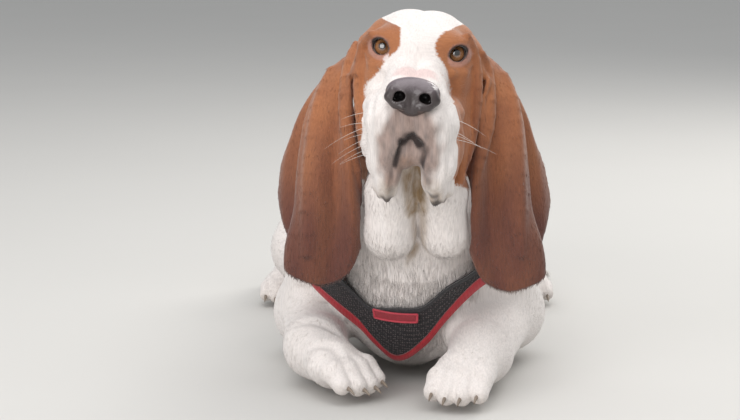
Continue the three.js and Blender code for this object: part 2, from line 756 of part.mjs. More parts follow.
const vestRow = (place, room) =>
  Array.from({ length: VEST_STEPS }, (_, i) => {
    const u = i / VEST_STEPS;
    return laid(NECKLINE.getPoint(u).lerp(VEST_EDGE.getPoint(u), place), room);
  });
const trimRow = (distance, room) =>
  Array.from({ length: VEST_STEPS }, (_, i) => {
    const [inner, outer] = [NECKLINE, VEST_EDGE].map((edge) => edge.getPoint(i / VEST_STEPS));
    return laid(outer.clone().addScaledVector(outer.clone().sub(inner).normalize(), distance), room);
  });
const vest = (grow = 0) => {
  const rows = [0, 0.5, 1].map((place) => vestRow(place, STRAP_ROOM));
  return turnedOut(sheetOf(rows, flat(STRAP_THICKNESS + 2 * grow), true)).intersect(aboveGround);
};
const TRIM_EXTRA = 0.6; // how much thicker the edge is than the vest
const trim = () => {
  const rows = [1, 1 + TRIM_WIDTH].map((far) => trimRow(far, STRAP_ROOM + TRIM_EXTRA / 2));
  return turnedOut(sheetOf(rows, flat(STRAP_THICKNESS + TRIM_EXTRA), true)).intersect(aboveGround);
};
const girth = (grow = 0) => {
  const rows = spread(GIRTH.y - GIRTH.width / 2, GIRTH.y + GIRTH.width / 2, 2).map((y) =>
    spread(radians(-40), radians(220), 25).map((angle) =>
      laid(new THREE.Vector3(118 * Math.cos(angle), y, 120 + 142 * Math.sin(angle)), STRAP_ROOM),
    ),
  );
  return turnedOut(sheetOf(rows, flat(STRAP_THICKNESS + 2 * grow))).intersect(aboveGround);
};
const backStrap = (grow = 0) => {
  const rows = spread(-16 - grow, 16 + grow, 3).map((x) =>
    spread(122, GIRTH.y - GIRTH.width / 2 - 1, 4).map((y) =>
      laid(new THREE.Vector3(x, y, BACK_HEIGHT + 4), STRAP_ROOM),
    ),
  );
  return turnedOut(sheetOf(rows, flat(STRAP_THICKNESS + 2 * grow)));
};
const label = () => {
  const rows = spread(LABEL.z[1], LABEL.z[0], 2).map((z) =>
    spread(LABEL.x[0], LABEL.x[1], 5).map((x) =>
      laid(new THREE.Vector3(x, -58, z), STRAP_ROOM + STRAP_THICKNESS),
    ),
  );
  return turnedOut(sheetOf(rows, flat(LABEL.thickness))).subtract(vest(GAP));
};

// A small part of the harness, set flat on the strap at a place on the body
const seated = (geometry, guide, room) => {
  const point = laid(new THREE.Vector3(...guide), room);
  const turn = new THREE.Quaternion().setFromUnitVectors(
    new THREE.Vector3(0, 0, 1),
    slopeOf(harnessed, point).normalize(),
  );
  return turnedOut(stripped(geometry).applyQuaternion(turn).translate(...point));
};
const BUCKLE = { length: 34, width: 24, depth: 7 };
const buckle = (sign) => {
  const shape = new THREE.Shape()
    .moveTo(-BUCKLE.width / 2, -BUCKLE.length / 2)
    .lineTo(BUCKLE.width / 2, -BUCKLE.length / 2)
    .lineTo(BUCKLE.width / 2, BUCKLE.length / 2)
    .lineTo(-BUCKLE.width / 2, BUCKLE.length / 2)
    .closePath();
  const body = new THREE.ExtrudeGeometry(shape, {
    depth: BUCKLE.depth,
    bevelSize: 2,
    bevelThickness: 2,
    bevelSegments: 1,
  });
  const room = STRAP_ROOM + STRAP_THICKNESS / 2 + 1.5;
  return seated(body.rotateZ(Math.PI / 2), [sign * 116, GIRTH.y, 148], room).subtract(girth(GAP));
};
const RING = { radius: 12, wire: 1.8 };
const ring = () => {
  const room = STRAP_ROOM + STRAP_THICKNESS / 2 + RING.wire + GAP;
  const hoop = new THREE.TorusGeometry(RING.radius, RING.wire, 5, 14);
  return seated(hoop, [0, 152, BACK_HEIGHT + 4], room).subtract(backStrap(GAP));
};

// The model
const figure = new THREE.Group();
const paint = (color, roughness, metalness = 0) =>
  new THREE.MeshStandardMaterial({ color, roughness, metalness });
const WHITE_COAT = paint(0xe6dfda, 0.8);
const RED_COAT = paint(0x9a5530, 0.8);
const EAR_COAT = paint(0x7c4430, 0.75);
const NOSE_LEATHER = paint(0x2b2428, 0.45);
const EYE = paint(0x6b3d1c, 0.1);
const MESH_FABRIC = paint(0x1d1a1c, 0.85);
const RED_BINDING = paint(0xb32028, 0.7);
const STEEL = paint(0xb8babd, 0.3, 1);
const PLASTIC = paint(0x18181a, 0.45);
const add = (name, solid, material) => {
  const mesh = new THREE.Mesh(geometryOf(largest(solid)), material);
  mesh.name = name;
  figure.add(mesh);
};

const nodes = parted(GAP);
const barks = parted(-GAP, 1.5 * GAP);
const clear = (solid) => Object.values(barks).reduce((left, bark) => left.subtract(bark), solid);

add("nose", nostrils(solidOf(skinOf(noseForm, gridFor("nose")))), NOSE_LEATHER);
nodes.head = nodes.head
  .subtract(solidOf(skinOf(noseForm, gridFor("nose"), GAP)))
  .subtract(groove(MOUTH_LINE, 2.2, 10));
for (const [name, sign] of Object.entries(SIDES)) {
  const centre = eyeCentre(sign);
  const socket = EYE_RADIUS + GAP;
  const opening = [sign * (EYE_SPREAD + 0.5), -6, -1];
  nodes.head = nodes.head
    .subtract(ball(centre, [socket, socket, socket], headPlace))
    .subtract(ball(opening, [10.5, 13, 8.5], headPlace));
  add("eye_" + name, ball(centre, [EYE_RADIUS, EYE_RADIUS, EYE_RADIUS], headPlace, 14), EYE);
  add("ear_" + name, clear(earSolid(name)), EAR_COAT);
  nodes["forepaw_" + name] = clawed(nodes["forepaw_" + name], forelegs[name], FORE_TOES);
  nodes["hindpaw_" + name] = clawed(nodes["hindpaw_" + name], hindlegs[name], HIND_TOES);
}
add("tail", clear(solidOf(skinOf(tail, gridFor("tail"))).intersect(aboveFloor)), RED_COAT);
add("harness_vest", clear(vest()), MESH_FABRIC);
add("harness_trim", clear(trim()), RED_BINDING);
add("harness_girth", clear(girth()), MESH_FABRIC);
add("harness_back", clear(backStrap()), MESH_FABRIC);
add("harness_label", label(), RED_BINDING);
add("harness_ring", ring(), STEEL);
add("buckle_left", buckle(SIDES.left), PLASTIC);
add("buckle_right", buckle(SIDES.right), PLASTIC);
for (const [name, solid] of Object.entries(nodes)) add(name, solid, WHITE_COAT);

// The origin is on the floor, below the middle of the whole
const { min, max } = new THREE.Box3().setFromObject(figure);
figure.position.set(-(min.x + max.x) / 2, -(min.y + max.y) / 2, 0);

export default figure;
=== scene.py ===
import math

import bpy
import numpy as np
from mathutils import Matrix, Vector
from mathutils.bvhtree import BVHTree


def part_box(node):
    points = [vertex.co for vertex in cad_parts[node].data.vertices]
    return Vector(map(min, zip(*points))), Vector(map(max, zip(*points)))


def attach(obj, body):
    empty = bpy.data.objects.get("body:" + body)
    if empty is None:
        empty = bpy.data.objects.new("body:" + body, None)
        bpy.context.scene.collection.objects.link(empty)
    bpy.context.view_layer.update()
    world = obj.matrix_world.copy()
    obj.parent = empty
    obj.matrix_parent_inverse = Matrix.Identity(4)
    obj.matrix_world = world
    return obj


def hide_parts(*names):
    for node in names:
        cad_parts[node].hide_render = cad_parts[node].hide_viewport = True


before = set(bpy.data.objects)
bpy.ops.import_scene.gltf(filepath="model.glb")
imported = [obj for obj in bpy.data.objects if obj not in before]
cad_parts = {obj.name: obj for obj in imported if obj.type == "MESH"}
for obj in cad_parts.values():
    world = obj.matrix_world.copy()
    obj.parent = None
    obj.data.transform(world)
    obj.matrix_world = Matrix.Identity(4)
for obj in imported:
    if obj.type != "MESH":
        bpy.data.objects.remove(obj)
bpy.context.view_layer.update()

# The forms are worked out in millimetres, in the frame that the hound was modelled in: it faces -Y,
# its left is +X, and the floor is at Z = 0. MOVE takes them to the part's own frame.
EYE_PLACE = (6, -112, 372)
HEAD_PITCH = 2
HEAD_TURN = -3
HEAD_ROLL = 5
EYE_SPREAD = 36.5
EYE_RADIUS = 11.8
CHEST_WIDTH = 224
BACK_HEIGHT = 264
RUMP_REACH = 590
EAR_TOP = 376
EAR_LENGTH = 256
STRAP_THICKNESS = 2.6
COAT_DEPTH = 1.5  # the skin lies this far inside the solids
SIDES = {"left": 1, "right": -1}

HEAD_PLACE = Matrix.Translation(EYE_PLACE) @ (
    Matrix.Rotation(math.radians(HEAD_TURN), 4, "Z")
    @ Matrix.Rotation(math.radians(HEAD_ROLL), 4, "Y")
    @ Matrix.Rotation(math.radians(-HEAD_PITCH), 4, "X")
)


def eye_centre(sign):
    return Vector((sign * EYE_SPREAD, 9, -1))


low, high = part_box("eye_left")
MOVE = (low + high) / 2 - HEAD_PLACE @ eye_centre(1) / 1000
MOVE.z = 0


def in_metres(points):
    return np.asarray(points, float) / 1000 + np.array(MOVE)


def turns(count):
    """The angles of evenly spaced places round a circle."""
    return [2 * math.pi * i / count for i in range(count)]


def line_of(x, y, z):
    """Rows of points from their places along each axis, any of which may be one number."""
    return np.stack(np.broadcast_arrays(*[np.asarray(v, float) for v in (x, y, z)]), axis=1)


def length_of(v):
    return np.sqrt(np.einsum("ij,ij->i", v, v))


def unit(rows):
    """Rows of vectors, each made one long."""
    return rows / np.maximum(length_of(rows), 1e-6)[:, None]


# Distance functions on rows of points, negative inside


def ellipsoid(centre, radii):
    centre = np.array(centre, np.float32)
    radii = np.array(radii, np.float32)

    def form(p):
        q = (p - centre) / radii
        near = length_of(q)
        return near * (near - 1) / np.maximum(length_of(q / radii), 1e-6)

    return form


def limb(a, ra, b, rb):
    a = np.array(a, np.float32)
    way = np.array(b, np.float32) - a

    def form(p):
        q = p - a
        t = np.clip(q @ way / (way @ way), 0, 1)
        return length_of(q - t[:, None] * way) - ra - t * (rb - ra)

    return form


def chain(*beads):
    return [limb(*beads[i], *beads[i + 1]) for i in range(len(beads) - 1)]


def soften(a, b, k):
    h = np.maximum(k - np.abs(a - b), 0) / k
    return np.minimum(a, b) - h * h * k / 4


def melt(k, *forms):
    def form(p):
        d = forms[0](p)
        for other in forms[1:]:
            d = soften(d, other(p), k)
        return d

    return form


def carve(k, form, *hollows):
    def cut(p):
        d = form(p)
        for hollow in hollows:
            d = -soften(-d, hollow(p), k)
        return d

    return cut


def nearest(*forms):
    return lambda p: np.minimum.reduce([form(p) for form in forms])


def mirrored(form):
    return lambda p: form(p * np.where(p[:, :1] < 0, np.float32([-1, 1, 1]), np.float32([1, 1, 1])))


def placed(form, matrix):
    back = np.array(matrix.inverted(), np.float32)
    return lambda p: form(p @ back[:3, :3].T + back[:3, 3])


def within(form, low, high):
    """Works a form out only inside a box, and counts the rest as far outside it."""
    low, high = np.array(low), np.array(high)

    def form_in_box(p):
        near = ((p > low) & (p < high)).all(axis=1)
        d = np.full(len(p), 500, np.float32)
        if near.any():
            d[near] = form(p[near])
        return d

    return form_in_box


# Head, in its own frame: the origin is midway between the eyes
LIP_LEVEL = -60


def hung(sign, point):
    x, y, z = point
    return (sign * x + math.tan(math.radians(HEAD_ROLL)) * max(0, LIP_LEVEL - z), y, z)


skull = melt(
    18,
    ellipsoid((0, 54, -7), (58, 66, 42)),
    mirrored(ellipsoid((14, 46, 12), (30, 50, 27))),
    ellipsoid((0, 112, 2), (17, 24, 18)),
    ellipsoid((0, 14, -1), (42, 34, 24)),
    mirrored(ellipsoid((42, 40, -30), (19, 46, 30))),
    mirrored(ellipsoid((34, 60, -60), (26, 44, 36))),
)
brows = mirrored(ellipsoid((34, 3, 13), (17, 12, 8)))
muzzle = melt(
    14,
    mirrored(limb((13, -2, -28), 20, (12, -96, -37), 18)),
    ellipsoid((0, -52, -58), (38, 60, 36)),
    mirrored(ellipsoid((20, -84, -66), (25, 32, 30))),
)
FLEW_ROWS = [
    [((18, -92, -70), 18), ((22, -94, -98), 12), ((21, -89, -124), 11)],
    [((27, -76, -70), 20), ((28, -79, -106), 14), ((25, -76, -138), 11)],
    [((31, -50, -66), 20), ((32, -53, -104), 14), ((31, -53, -135), 12)],
    [((34, -20, -62), 20), ((36, -25, -96), 14), ((35, -28, -118), 12)],
    [((36, 10, -60), 20), ((38, 3, -84), 14), ((38, -2, -99), 12)],
]


def flew(sign):
    rows = [chain(*[(hung(sign, p), r) for p, r in row]) for row in FLEW_ROWS]
    return melt(16, *[link for row in rows for link in row])


def cheek_fold(sign, drop):
    return melt(
        10,
        *chain(
            ((sign * 46, 26, -46), 17),
            (hung(sign, (47, 6, -84)), 13),
            (hung(sign, (46, -14, -84 - drop)), 8),
        ),
    )


jaw = melt(
    10,
    limb((0, -82, -98), 13, (0, -20, -88), 24),
    limb((0, -20, -88), 24, (0, 44, -78), 34),
    ellipsoid((0, -92, -98), (15, 12, 15)),
)
eye_mounds = mirrored(ellipsoid((EYE_SPREAD, 9, -1), (17, 16, 15.5)))
ear_bases = mirrored(
    melt(6, *chain(((42, 42, 13), 12), ((53, 36, 0), 12), ((58, 28, -26), 9), ((57, 22, -52), 5)))
)

# Lids: an opening along the way that each eye looks, with a rim round it
OPENING_HALF = 9.2
OPENING_TOP = 7.4
OPENING_BOTTOM = 7.0
LID_ROUND = 2.1


def eye_axes(sign):
    """Ways across, along and up the opening of an eye. Its outer corner droops."""
    ahead = Vector((sign * 0.30, -1, 0.10)).normalized()
    across = ahead.cross(Vector((0, 0, 1))).normalized() * -sign
    across = Matrix.Rotation(math.radians(20 * sign), 3, ahead) @ across
    return across, ahead, ahead.cross(across) * sign


def opening_of(sign, grow=0.0):
    centre = np.array(eye_centre(sign), np.float32)
    across, ahead, up = [np.array(v, np.float32) for v in eye_axes(sign)]

    def form(p):
        q = p - centre
        u, v, w = q @ across, q @ up, q @ ahead
        tall = np.where(v > 0, OPENING_TOP, OPENING_BOTTOM) + grow
        wide = OPENING_HALF + grow
        ring = (np.abs(u) / wide) ** 1.7 + (np.abs(v) / tall) ** 1.9
        return np.maximum((ring**0.55 - 1) * OPENING_BOTTOM, -w)

    return form


def lid_rim(sign):
    across, ahead, up = eye_axes(sign)
    reach = EYE_RADIUS + 1.0
    ring = []
    for t in turns(20):
        c, s = math.cos(t), math.sin(t)
        tall = OPENING_TOP if s > 0 else OPENING_BOTTOM
        radius = LID_ROUND * (1.1 + 0.35 * s)
        u = (OPENING_HALF + radius * 0.8) * math.copysign(abs(c) ** 1.15, c)
        v = (tall + radius * 0.8) * math.copysign(abs(s) ** 1.05, s)
        depth = math.sqrt(max(reach * reach - u * u - v * v, 16))
        ring.append((eye_centre(sign) + across * u + up * v + ahead * depth, radius))
    return melt(2, *chain(*ring, ring[0]))


# Loose skin of the face: pouches under the eyes, and a lip along the flews
def fold(points, radii, k=6):
    return melt(k, *chain(*list(zip(points, radii))))


def pouch(sign):
    points = [(26, -9, -13), (36, -8, -20), (48, 2, -19), (55, 14, -8)]
    return fold([(sign * x, y, z) for x, y, z in points], (3, 4, 4, 3))


LIP_EDGE = [
    (5, -111, -80),
    (14, -107, -89),
    (18, -100, -107),
    (20, -93, -129),
    (25, -79, -147),
    (32, -54, -146),
    (37, -28, -129),
    (41, -2, -110),
    (44, 14, -92),
]


def lip(sign):
    return fold([hung(sign, p) for p in LIP_EDGE], [2, 2.6, 3, 3.4, 3.6, 3.4, 3, 3, 2.6], 3)


head_form = melt(
    7,
    melt(14, melt(16, skull, muzzle), flew(1), flew(-1), brows, ear_bases),
    jaw,
    eye_mounds,
    cheek_fold(1, 44),
    cheek_fold(-1, 24),
)


def drawn_to(form, points, level=0.0, rounds=8, stride=6):
    """Moves points to the places where a form has the value of level, at most a stride each round."""
    points = np.array(points, np.float32)
    for _ in range(rounds):
        slope = slope_at(form, points)
        step = (level - form(points)) / np.maximum(np.einsum("ij,ij->i", slope, slope), 0.25)
        points = points + slope * np.clip(step, -stride, stride)[:, None]
    return points


def slope_at(form, points, e=0.6):
    steps = np.eye(3, dtype=np.float32) * e
    slopes = [form(points + s) - form(points - s) for s in steps]
    return np.stack(slopes, axis=1) / (2 * e)


# The line of the mouth arches from its peak under the nose round the chin on each side, and the
# lip is split from the nose down to that peak.
MOUTH_LINE = drawn_to(
    head_form,
    [
        (-15, -98, -106),
        (-12.5, -102, -93),
        (-6, -108, -85),
        (3, -112, -81.5),
        (11, -109, -86),
        (18.5, -103, -94),
        (20, -98, -105),
    ],
)
LIP_SPLIT = drawn_to(head_form, [(0, -124, -62), (1, -120, -72), (3, -114, -82)])
lip_split = fold(LIP_SPLIT, (0.8, 1.0, 1.2), 1)
mouth_cut = fold(MOUTH_LINE, (0.8, 1.5, 2.1, 2.6, 2.1, 1.5, 0.8), 1)


def eyed(form):
    rims = melt(2.5, form, lid_rim(1), lid_rim(-1))
    balls = [ellipsoid(eye_centre(s), [EYE_RADIUS - 0.6] * 3) for s in (1, -1)]
    return carve(0.8, rims, opening_of(1), opening_of(-1), *balls)


def wobble(p, size, seed):
    """A soft, even unrest between about -1 and 1."""
    rng = np.random.default_rng(seed)
    total = np.zeros(len(p), np.float32)
    for _ in range(5):
        way = rng.normal(size=3)
        way = (way / np.linalg.norm(way) / size).astype(np.float32)
        total += np.sin(p @ way * 2 * math.pi + rng.uniform(0, 6.28)).astype(np.float32)
    return total / 2.6


def face(p):
    d = melt(4, head_form, pouch(1), pouch(-1), lip(1), lip(-1))(p)
    sides = np.clip((-20 - p[:, 2]) / 30, 0, 1) * np.clip(-p[:, 1] / 30, 0, 1)
    hanging = p * np.float32([1, 0.5, 0.22])
    d = d - 0.5 * sides * wobble(p, 21, 3) - 0.8 * sides * wobble(hanging, 9, 4)
    return d


NOSTRIL = (12.5, -121, -39)
nostrils = mirrored(
    melt(2, ellipsoid(NOSTRIL, (5.4, 15, 4.8)), limb((15, -122, -42), 2.6, (22, -116, -44), 1.6))
)
nose_bed = mirrored(ellipsoid(NOSTRIL, (8, 20, 7)))
face_cut = carve(1.2, eyed(face), lip_split, mouth_cut, nose_bed)
HEAD_BOX = ((-110, -270, 190), (120, 110, 440))
head = within(placed(face_cut, HEAD_PLACE), *HEAD_BOX)
solid_head = within(placed(head_form, HEAD_PLACE), *HEAD_BOX)
head_join = limb((3, -2, 326), 54, (3, -20, 300), 54)

# Neck, throat and trunk
neck = melt(30, limb((3, -6, 330), 58, (0, 78, 200), 88), limb((3, -78, 268), 42, (0, -10, 160), 70))
dewlap = melt(
    5,
    melt(14, *chain(((-12, -122, 268), 22), ((-22, -110, 226), 27), ((-24, -98, 180), 30))),
    melt(14, *chain(((16, -118, 268), 22), ((28, -108, 226), 27), ((33, -98, 180), 28))),
)
throat = within(dewlap, (-90, -170, 110), (100, -30, 330))
torso = melt(
    40,
    ellipsoid((0, 182, 130), (CHEST_WIDTH / 2, 200, BACK_HEIGHT - 132)),
    ellipsoid((0, 112, 210), (54, 96, 60)),
    ellipsoid((0, 18, 108), (82, 76, 94)),
    ellipsoid((0, 340, 124), (CHEST_WIDTH / 2 - 12, 170, 126)),
    ellipsoid((0, RUMP_REACH - 112, 132), (94, 110, 110)),
)
trunk = melt(34, torso, neck)

# Legs
FORELEGS = {
    "left": {
        "shoulder": (80, 26, 156),
        "elbow": (108, 116, 54),
        "wrist": (74, -58, 42),
        "paw": (56, -112, 33),
        "toes": (42, -160, 18),
    },
    "right": {
        "shoulder": (-80, 26, 156),
        "elbow": (-108, 116, 54),
        "wrist": (-104, -34, 44),
        "paw": (-84, -82, 36),
        "toes": (-52, -116, 19),
    },
}
HINDLEGS = {
    "left": {
        "hip": (74, 496, 146),
        "knee": (124, 396, 76),
        "hock": (146, 544, 30),
        "paw": (156, 450, 24),
        "toes": (158, 406, 14),
    },
    "right": {
        "hip": (-74, 496, 146),
        "knee": (-124, 396, 76),
        "hock": (-144, 544, 30),
        "paw": (-152, 448, 24),
        "toes": (-156, 402, 14),
    },
}
FORE_TOES = {"spread": 24, "radii": (16, 14.5, 12)}
HIND_TOES = {"spread": 20, "radii": (13, 12, 10)}


def toes_of(leg, spread, count=4):
    paw, toes = Vector(leg["paw"]), Vector(leg["toes"])
    ahead = toes - paw
    across = Vector((-ahead.y, ahead.x, 0)).normalized()
    digits = []
    for i in range(count):
        place = (i - (count - 1) / 2) / ((count - 1) / 2)
        base = paw + across * place * spread * 0.72
        tip = paw + ahead * (1 - 0.16 * place * place) + across * place * spread
        knuckle = base.lerp(tip, 0.62)
        knuckle.z = paw.z - 3
        heading = Vector((ahead.x, ahead.y, 0)).normalized()
        digits.append({"base": base, "knuckle": knuckle, "tip": tip, "heading": heading})
    return digits


def digits_of(leg, spread, radii):
    digits = []
    for toe in toes_of(leg, spread):
        points = (toe["base"], toe["knuckle"], toe["tip"])
        digits.append(melt(4, *chain(*zip(points, radii))))
    return melt(2.5, *digits)


def upper_arm(leg):
    return limb(leg["shoulder"], 46, leg["elbow"], 43)


def foreleg_form(leg):
    arm = melt(26, upper_arm(leg), limb(leg["elbow"], 40, leg["wrist"], 33))
    hand = limb(leg["wrist"], 33, leg["paw"], 29)
    return melt(16, arm, melt(9, hand, digits_of(leg, **FORE_TOES)))


def hindleg_form(leg):
    side = math.copysign(1, leg["hip"][0])
    thigh = melt(
        34,
        ellipsoid((side * 100, 472, 98), (46, 102, 84)),
        limb(leg["hip"], 50, leg["knee"], 40),
        limb(leg["knee"], 34, leg["hock"], 24),
    )
    foot = melt(7, limb(leg["hock"], 21, leg["paw"], 22), digits_of(leg, **HIND_TOES))
    return melt(12, thigh, foot)


fore_forms = {name: foreleg_form(leg) for name, leg in FORELEGS.items()}
hind_forms = {name: hindleg_form(leg) for name, leg in HINDLEGS.items()}
legs = nearest(
    within(fore_forms["left"], (-80, -230, -60), (240, 220, 290)),
    within(fore_forms["right"], (-240, -230, -60), (80, 220, 290)),
    within(hind_forms["left"], (-60, 290, -60), (260, 680, 290)),
    within(hind_forms["right"], (-260, 290, -60), (60, 680, 290)),
)

TAIL = [
    ((0, 548, 186), 30),
    ((4, 588, 140), 22),
    ((18, 622, 76), 18),
    ((46, 644, 32), 15),
    ((96, 652, 15), 12),
    ((148, 634, 11), 9),
    ((186, 594, 8), 6),
]
tail = within(melt(12, *chain(*TAIL)), (-60, 500, -40), (240, 700, 240))
body_form = melt(24, trunk, legs)

# Ears: a long leaf that hangs in folds, as rows of places from its front edge to its rear edge
EAR_HEIGHTS = [376, 358, 335, 300, 250, 200, 165, 114]
EAR_CREASES = {
    "front_edge": ([36, 50, 58, 58, 52, 48, 50, 60], [-72, -80, -86, -90, -96, -100, -102, -98]),
    "rolled_crest": ([38, 58, 67, 67, 62, 58, 60, 66], [-66, -78, -92, -102, -112, -116, -114, -104]),
    "groove": ([40, 62, 73, 77, 76, 74, 78, 84], [-58, -68, -78, -88, -98, -104, -106, -102]),
    "panel": ([43, 71, 87, 93, 95, 97, 104, 106], [-50, -60, -72, -86, -106, -114, -114, -106]),
    "outer_fold": ([44, 78, 97, 109, 114, 117, 129, 132], [-42, -50, -58, -70, -86, -96, -98, -96]),
    "tuck": ([42, 74, 94, 106, 109, 113, 125, 130], [-34, -40, -44, -50, -58, -68, -76, -82]),
    "rear_lobe": ([38, 67, 94, 115, 128, 133, 133, 131], [-26, -30, -34, -38, -44, -54, -64, -72]),
    "rear_edge": ([32, 52, 76, 105, 133, 141, 137, 133], [-16, -18, -22, -24, -30, -40, -50, -60]),
}
EAR_SWAY = {"left": (0, 7), "right": (7, 3)}  # further out at mid length and at the tip
EAR_LIFT = {"left": 0, "right": 7}  # how much shorter it hangs
EAR_THICKNESS = 4.4


def curve_at(points, u, closed=False):
    """A point on a centripetal Catmull-Rom curve, with u from 0 to 1."""
    count = len(points)
    place = u * (count if closed else count - 1)
    i = int(math.floor(place)) if closed else min(int(place), count - 2)
    t = place - i

    def take(n):
        if closed:
            return points[n % count]
        if n < 0:
            return points[0] * 2 - points[1]
        if n >= count:
            return points[-1] * 2 - points[-2]
        return points[n]

    p = [take(i + n) for n in (-1, 0, 1, 2)]
    gaps = [max((p[n + 1] - p[n]).length_squared ** 0.25, 1e-4) for n in range(3)]
    ends = []
    for n in (1, 2):
        before = (p[n] - p[n - 1]) / gaps[n - 1]
        beyond = (p[n + 1] - p[n]) / gaps[n]
        wide = (p[n + 1] - p[n - 1]) / (gaps[n - 1] + gaps[n])
        ends.append((before - wide + beyond) * gaps[1])
    c2 = p[1] * -3 + p[2] * 3 - ends[0] * 2 - ends[1]
    c3 = p[1] * 2 - p[2] * 2 + ends[0] + ends[1]
    return p[1] + ends[0] * t + c2 * t * t + c3 * t * t * t


def smooth_at(values, z):
    shifts = z + np.array([-14, -7, 0, 7, 14])
    return float(np.interp(-shifts, [-h for h in EAR_HEIGHTS], values).mean())


def hem_of(u):
    lowest = 0.36
    if u < lowest:
        return EAR_TOP - EAR_LENGTH + 52 * (1 - u / lowest) ** 2.2
    return EAR_TOP - EAR_LENGTH + 84 * ((u - lowest) / (1 - lowest)) ** 1.6


def ear_point(name, u, v):
    z = EAR_TOP + (hem_of(u) + EAR_LIFT[name] - EAR_TOP) * v
    creases = [Vector((smooth_at(x, z), smooth_at(y, z), z)) for x, y in EAR_CREASES.values()]
    point = curve_at(creases, u)
    middle, tip = EAR_SWAY[name]
    sway = middle * math.sin(math.pi * v) + tip * v * v
    point.x = EYE_PLACE[0] * (1 - v) + SIDES[name] * (point.x + sway)
    return point


def smooth_step(x, low, high):
    t = np.clip((x - low) / (high - low), 0, 1)
    return t * t * (3 - 2 * t)


solid_flesh = melt(
    10,
    body_form,
    within(melt(20, placed(head_form, HEAD_PLACE), head_join), (-130, -290, 170), (140, 130, 450)),
    throat,
)


def ear_grid(name, columns, rows):
    """The middle surface of an ear. Its top sinks into the head, and the rest stays clear of the flesh."""
    us, vs = np.linspace(0, 1, columns), np.linspace(0, 1, rows)
    points = np.array([[ear_point(name, u, v) for u in us] for v in vs], np.float32).reshape(-1, 3)
    along = np.repeat(vs, columns)
    rooted = 1 - smooth_step(along, 0.04, 0.18)
    room = (EAR_THICKNESS / 2 + 3.0) * (1 - rooted) - 14 * rooted
    for _ in range(4):
        short = np.maximum(room - solid_flesh(points), 0)
        out = slope_at(solid_flesh, points)
        out[:, 2] = 0
        points = points + (unit(out) * short[:, None]).astype(np.float32)
    return points.reshape(rows, columns, 3)


def grid_faces(rows, columns, closed=False):
    faces = []
    for j in range(rows - 1):
        for i in range(columns if closed else columns - 1):
            n = (i + 1) % columns
            faces.append((j * columns + i, (j + 1) * columns + i, (j + 1) * columns + n, j * columns + n))
    return faces


EAR_COLUMNS, EAR_ROWS = ((72, 110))


def ear_form(name):
    grid = ear_grid(name, EAR_COLUMNS, EAR_ROWS)
    flat = grid.reshape(-1, 3)
    faces = grid_faces(EAR_ROWS, EAR_COLUMNS)
    tree = BVHTree.FromPolygons([Vector(p) for p in flat.tolist()], faces)
    reach = 10.0

    def form(p):
        d = np.full(len(p), reach, np.float32)
        for n, point in enumerate(p.tolist()):
            hit = tree.find_nearest(point, reach)
            if hit[0] is not None:
                j, i = divmod(hit[2], EAR_COLUMNS - 1)
                u = (i + 0.5) / (EAR_COLUMNS - 1)
                v = (j + 0.5) / (EAR_ROWS - 1)
                edge = min(u / 0.05, (1 - u) / 0.05, (1 - v) / 0.03, 1)
                d[n] = hit[3] - EAR_THICKNESS / 2 * (0.8 + 0.2 * edge)
        return d

    low, high = flat.min(0) - 8, flat.max(0) + 8
    return within(form, low, high)


ear_forms = {name: ear_form(name) for name in SIDES}

# Rolls of loose skin from the crown down in front of each ear, and the fold of its front. Each has
# its places as x and z, its radii, and how softly it meets the skin.
ROLLS = {
    "left": [
        (
            [55, 61, 65, 66, 64, 60, 53],
            [386, 374, 352, 326, 298, 272, 250],
            [6, 6.5, 7.5, 7.5, 6, 5, 3],
            2.5,
        ),
        ([72, 77, 79, 78, 73, 67, 62], [366, 350, 322, 296, 272, 248, 216], [5, 8, 9, 9, 8, 7, 3], 2.5),
        ([97, 105, 108, 110, 112, 112], [340, 316, 290, 250, 210, 160], [4, 6, 7, 7, 6, 3], 9),
    ],
    "right": [
        (
            [-43, -52, -56, -57, -55, -53, -50],
            [388, 376, 354, 328, 300, 274, 250],
            [6, 6.5, 7, 7, 6, 5, 3],
            2.5,
        ),
        (
            [-60, -66, -70, -70, -65, -59, -55],
            [373, 356, 328, 300, 270, 244, 212],
            [5, 8, 9, 9, 8, 7, 3],
            2.5,
        ),
        ([-86, -96, -103, -107, -110, -112], [346, 322, 290, 250, 210, 160], [4, 6, 7, 7, 6, 3], 9),
    ],
}


def front_of(form, xs, zs, start=-170.0, end=0.0):
    """How far forward a form reaches at places seen from the front."""
    ys = np.arange(start, end, 1.0, dtype=np.float32)
    found = []
    for x, z in zip(xs, zs):
        hits = np.nonzero(form(line_of(x, ys, z).astype(np.float32)) < 0)[0]
        found.append(ys[hits[0]] if len(hits) else np.nan)
    found = np.array(found)
    missed = np.isnan(found)
    found[missed] = np.interp(np.nonzero(missed)[0], np.nonzero(~missed)[0], found[~missed])
    return found


ROLL_ROOM = 22


def rolls_of(name):
    base = nearest(solid_flesh, ear_forms[name])
    parts = []
    for xs, zs, radii, k in ROLLS[name]:
        steps = np.linspace(0, 1, 12)
        places = [Vector((x, 0, z)) for x, z in zip(xs, zs)]
        line = [curve_at(places, t) for t in steps]
        thick = np.interp(steps, np.linspace(0, 1, len(radii)), radii)
        depth = front_of(base, [p.x for p in line], [p.z for p in line]) + thick * 0.35
        for _ in range(3):
            depth[1:-1] = (depth[:-2] + depth[1:-1] * 2 + depth[2:]) / 4
        beads = [((p.x, y, p.z), r) for p, y, r in zip(line, depth, thick)]
        places = [place for place, _ in beads]
        low, high = np.min(places, axis=0) - ROLL_ROOM, np.max(places, axis=0) + ROLL_ROOM
        parts.append((within(melt(1.5, *chain(*beads)), low, high), k))
    return parts


rolls = [part for name in SIDES for part in rolls_of(name)]

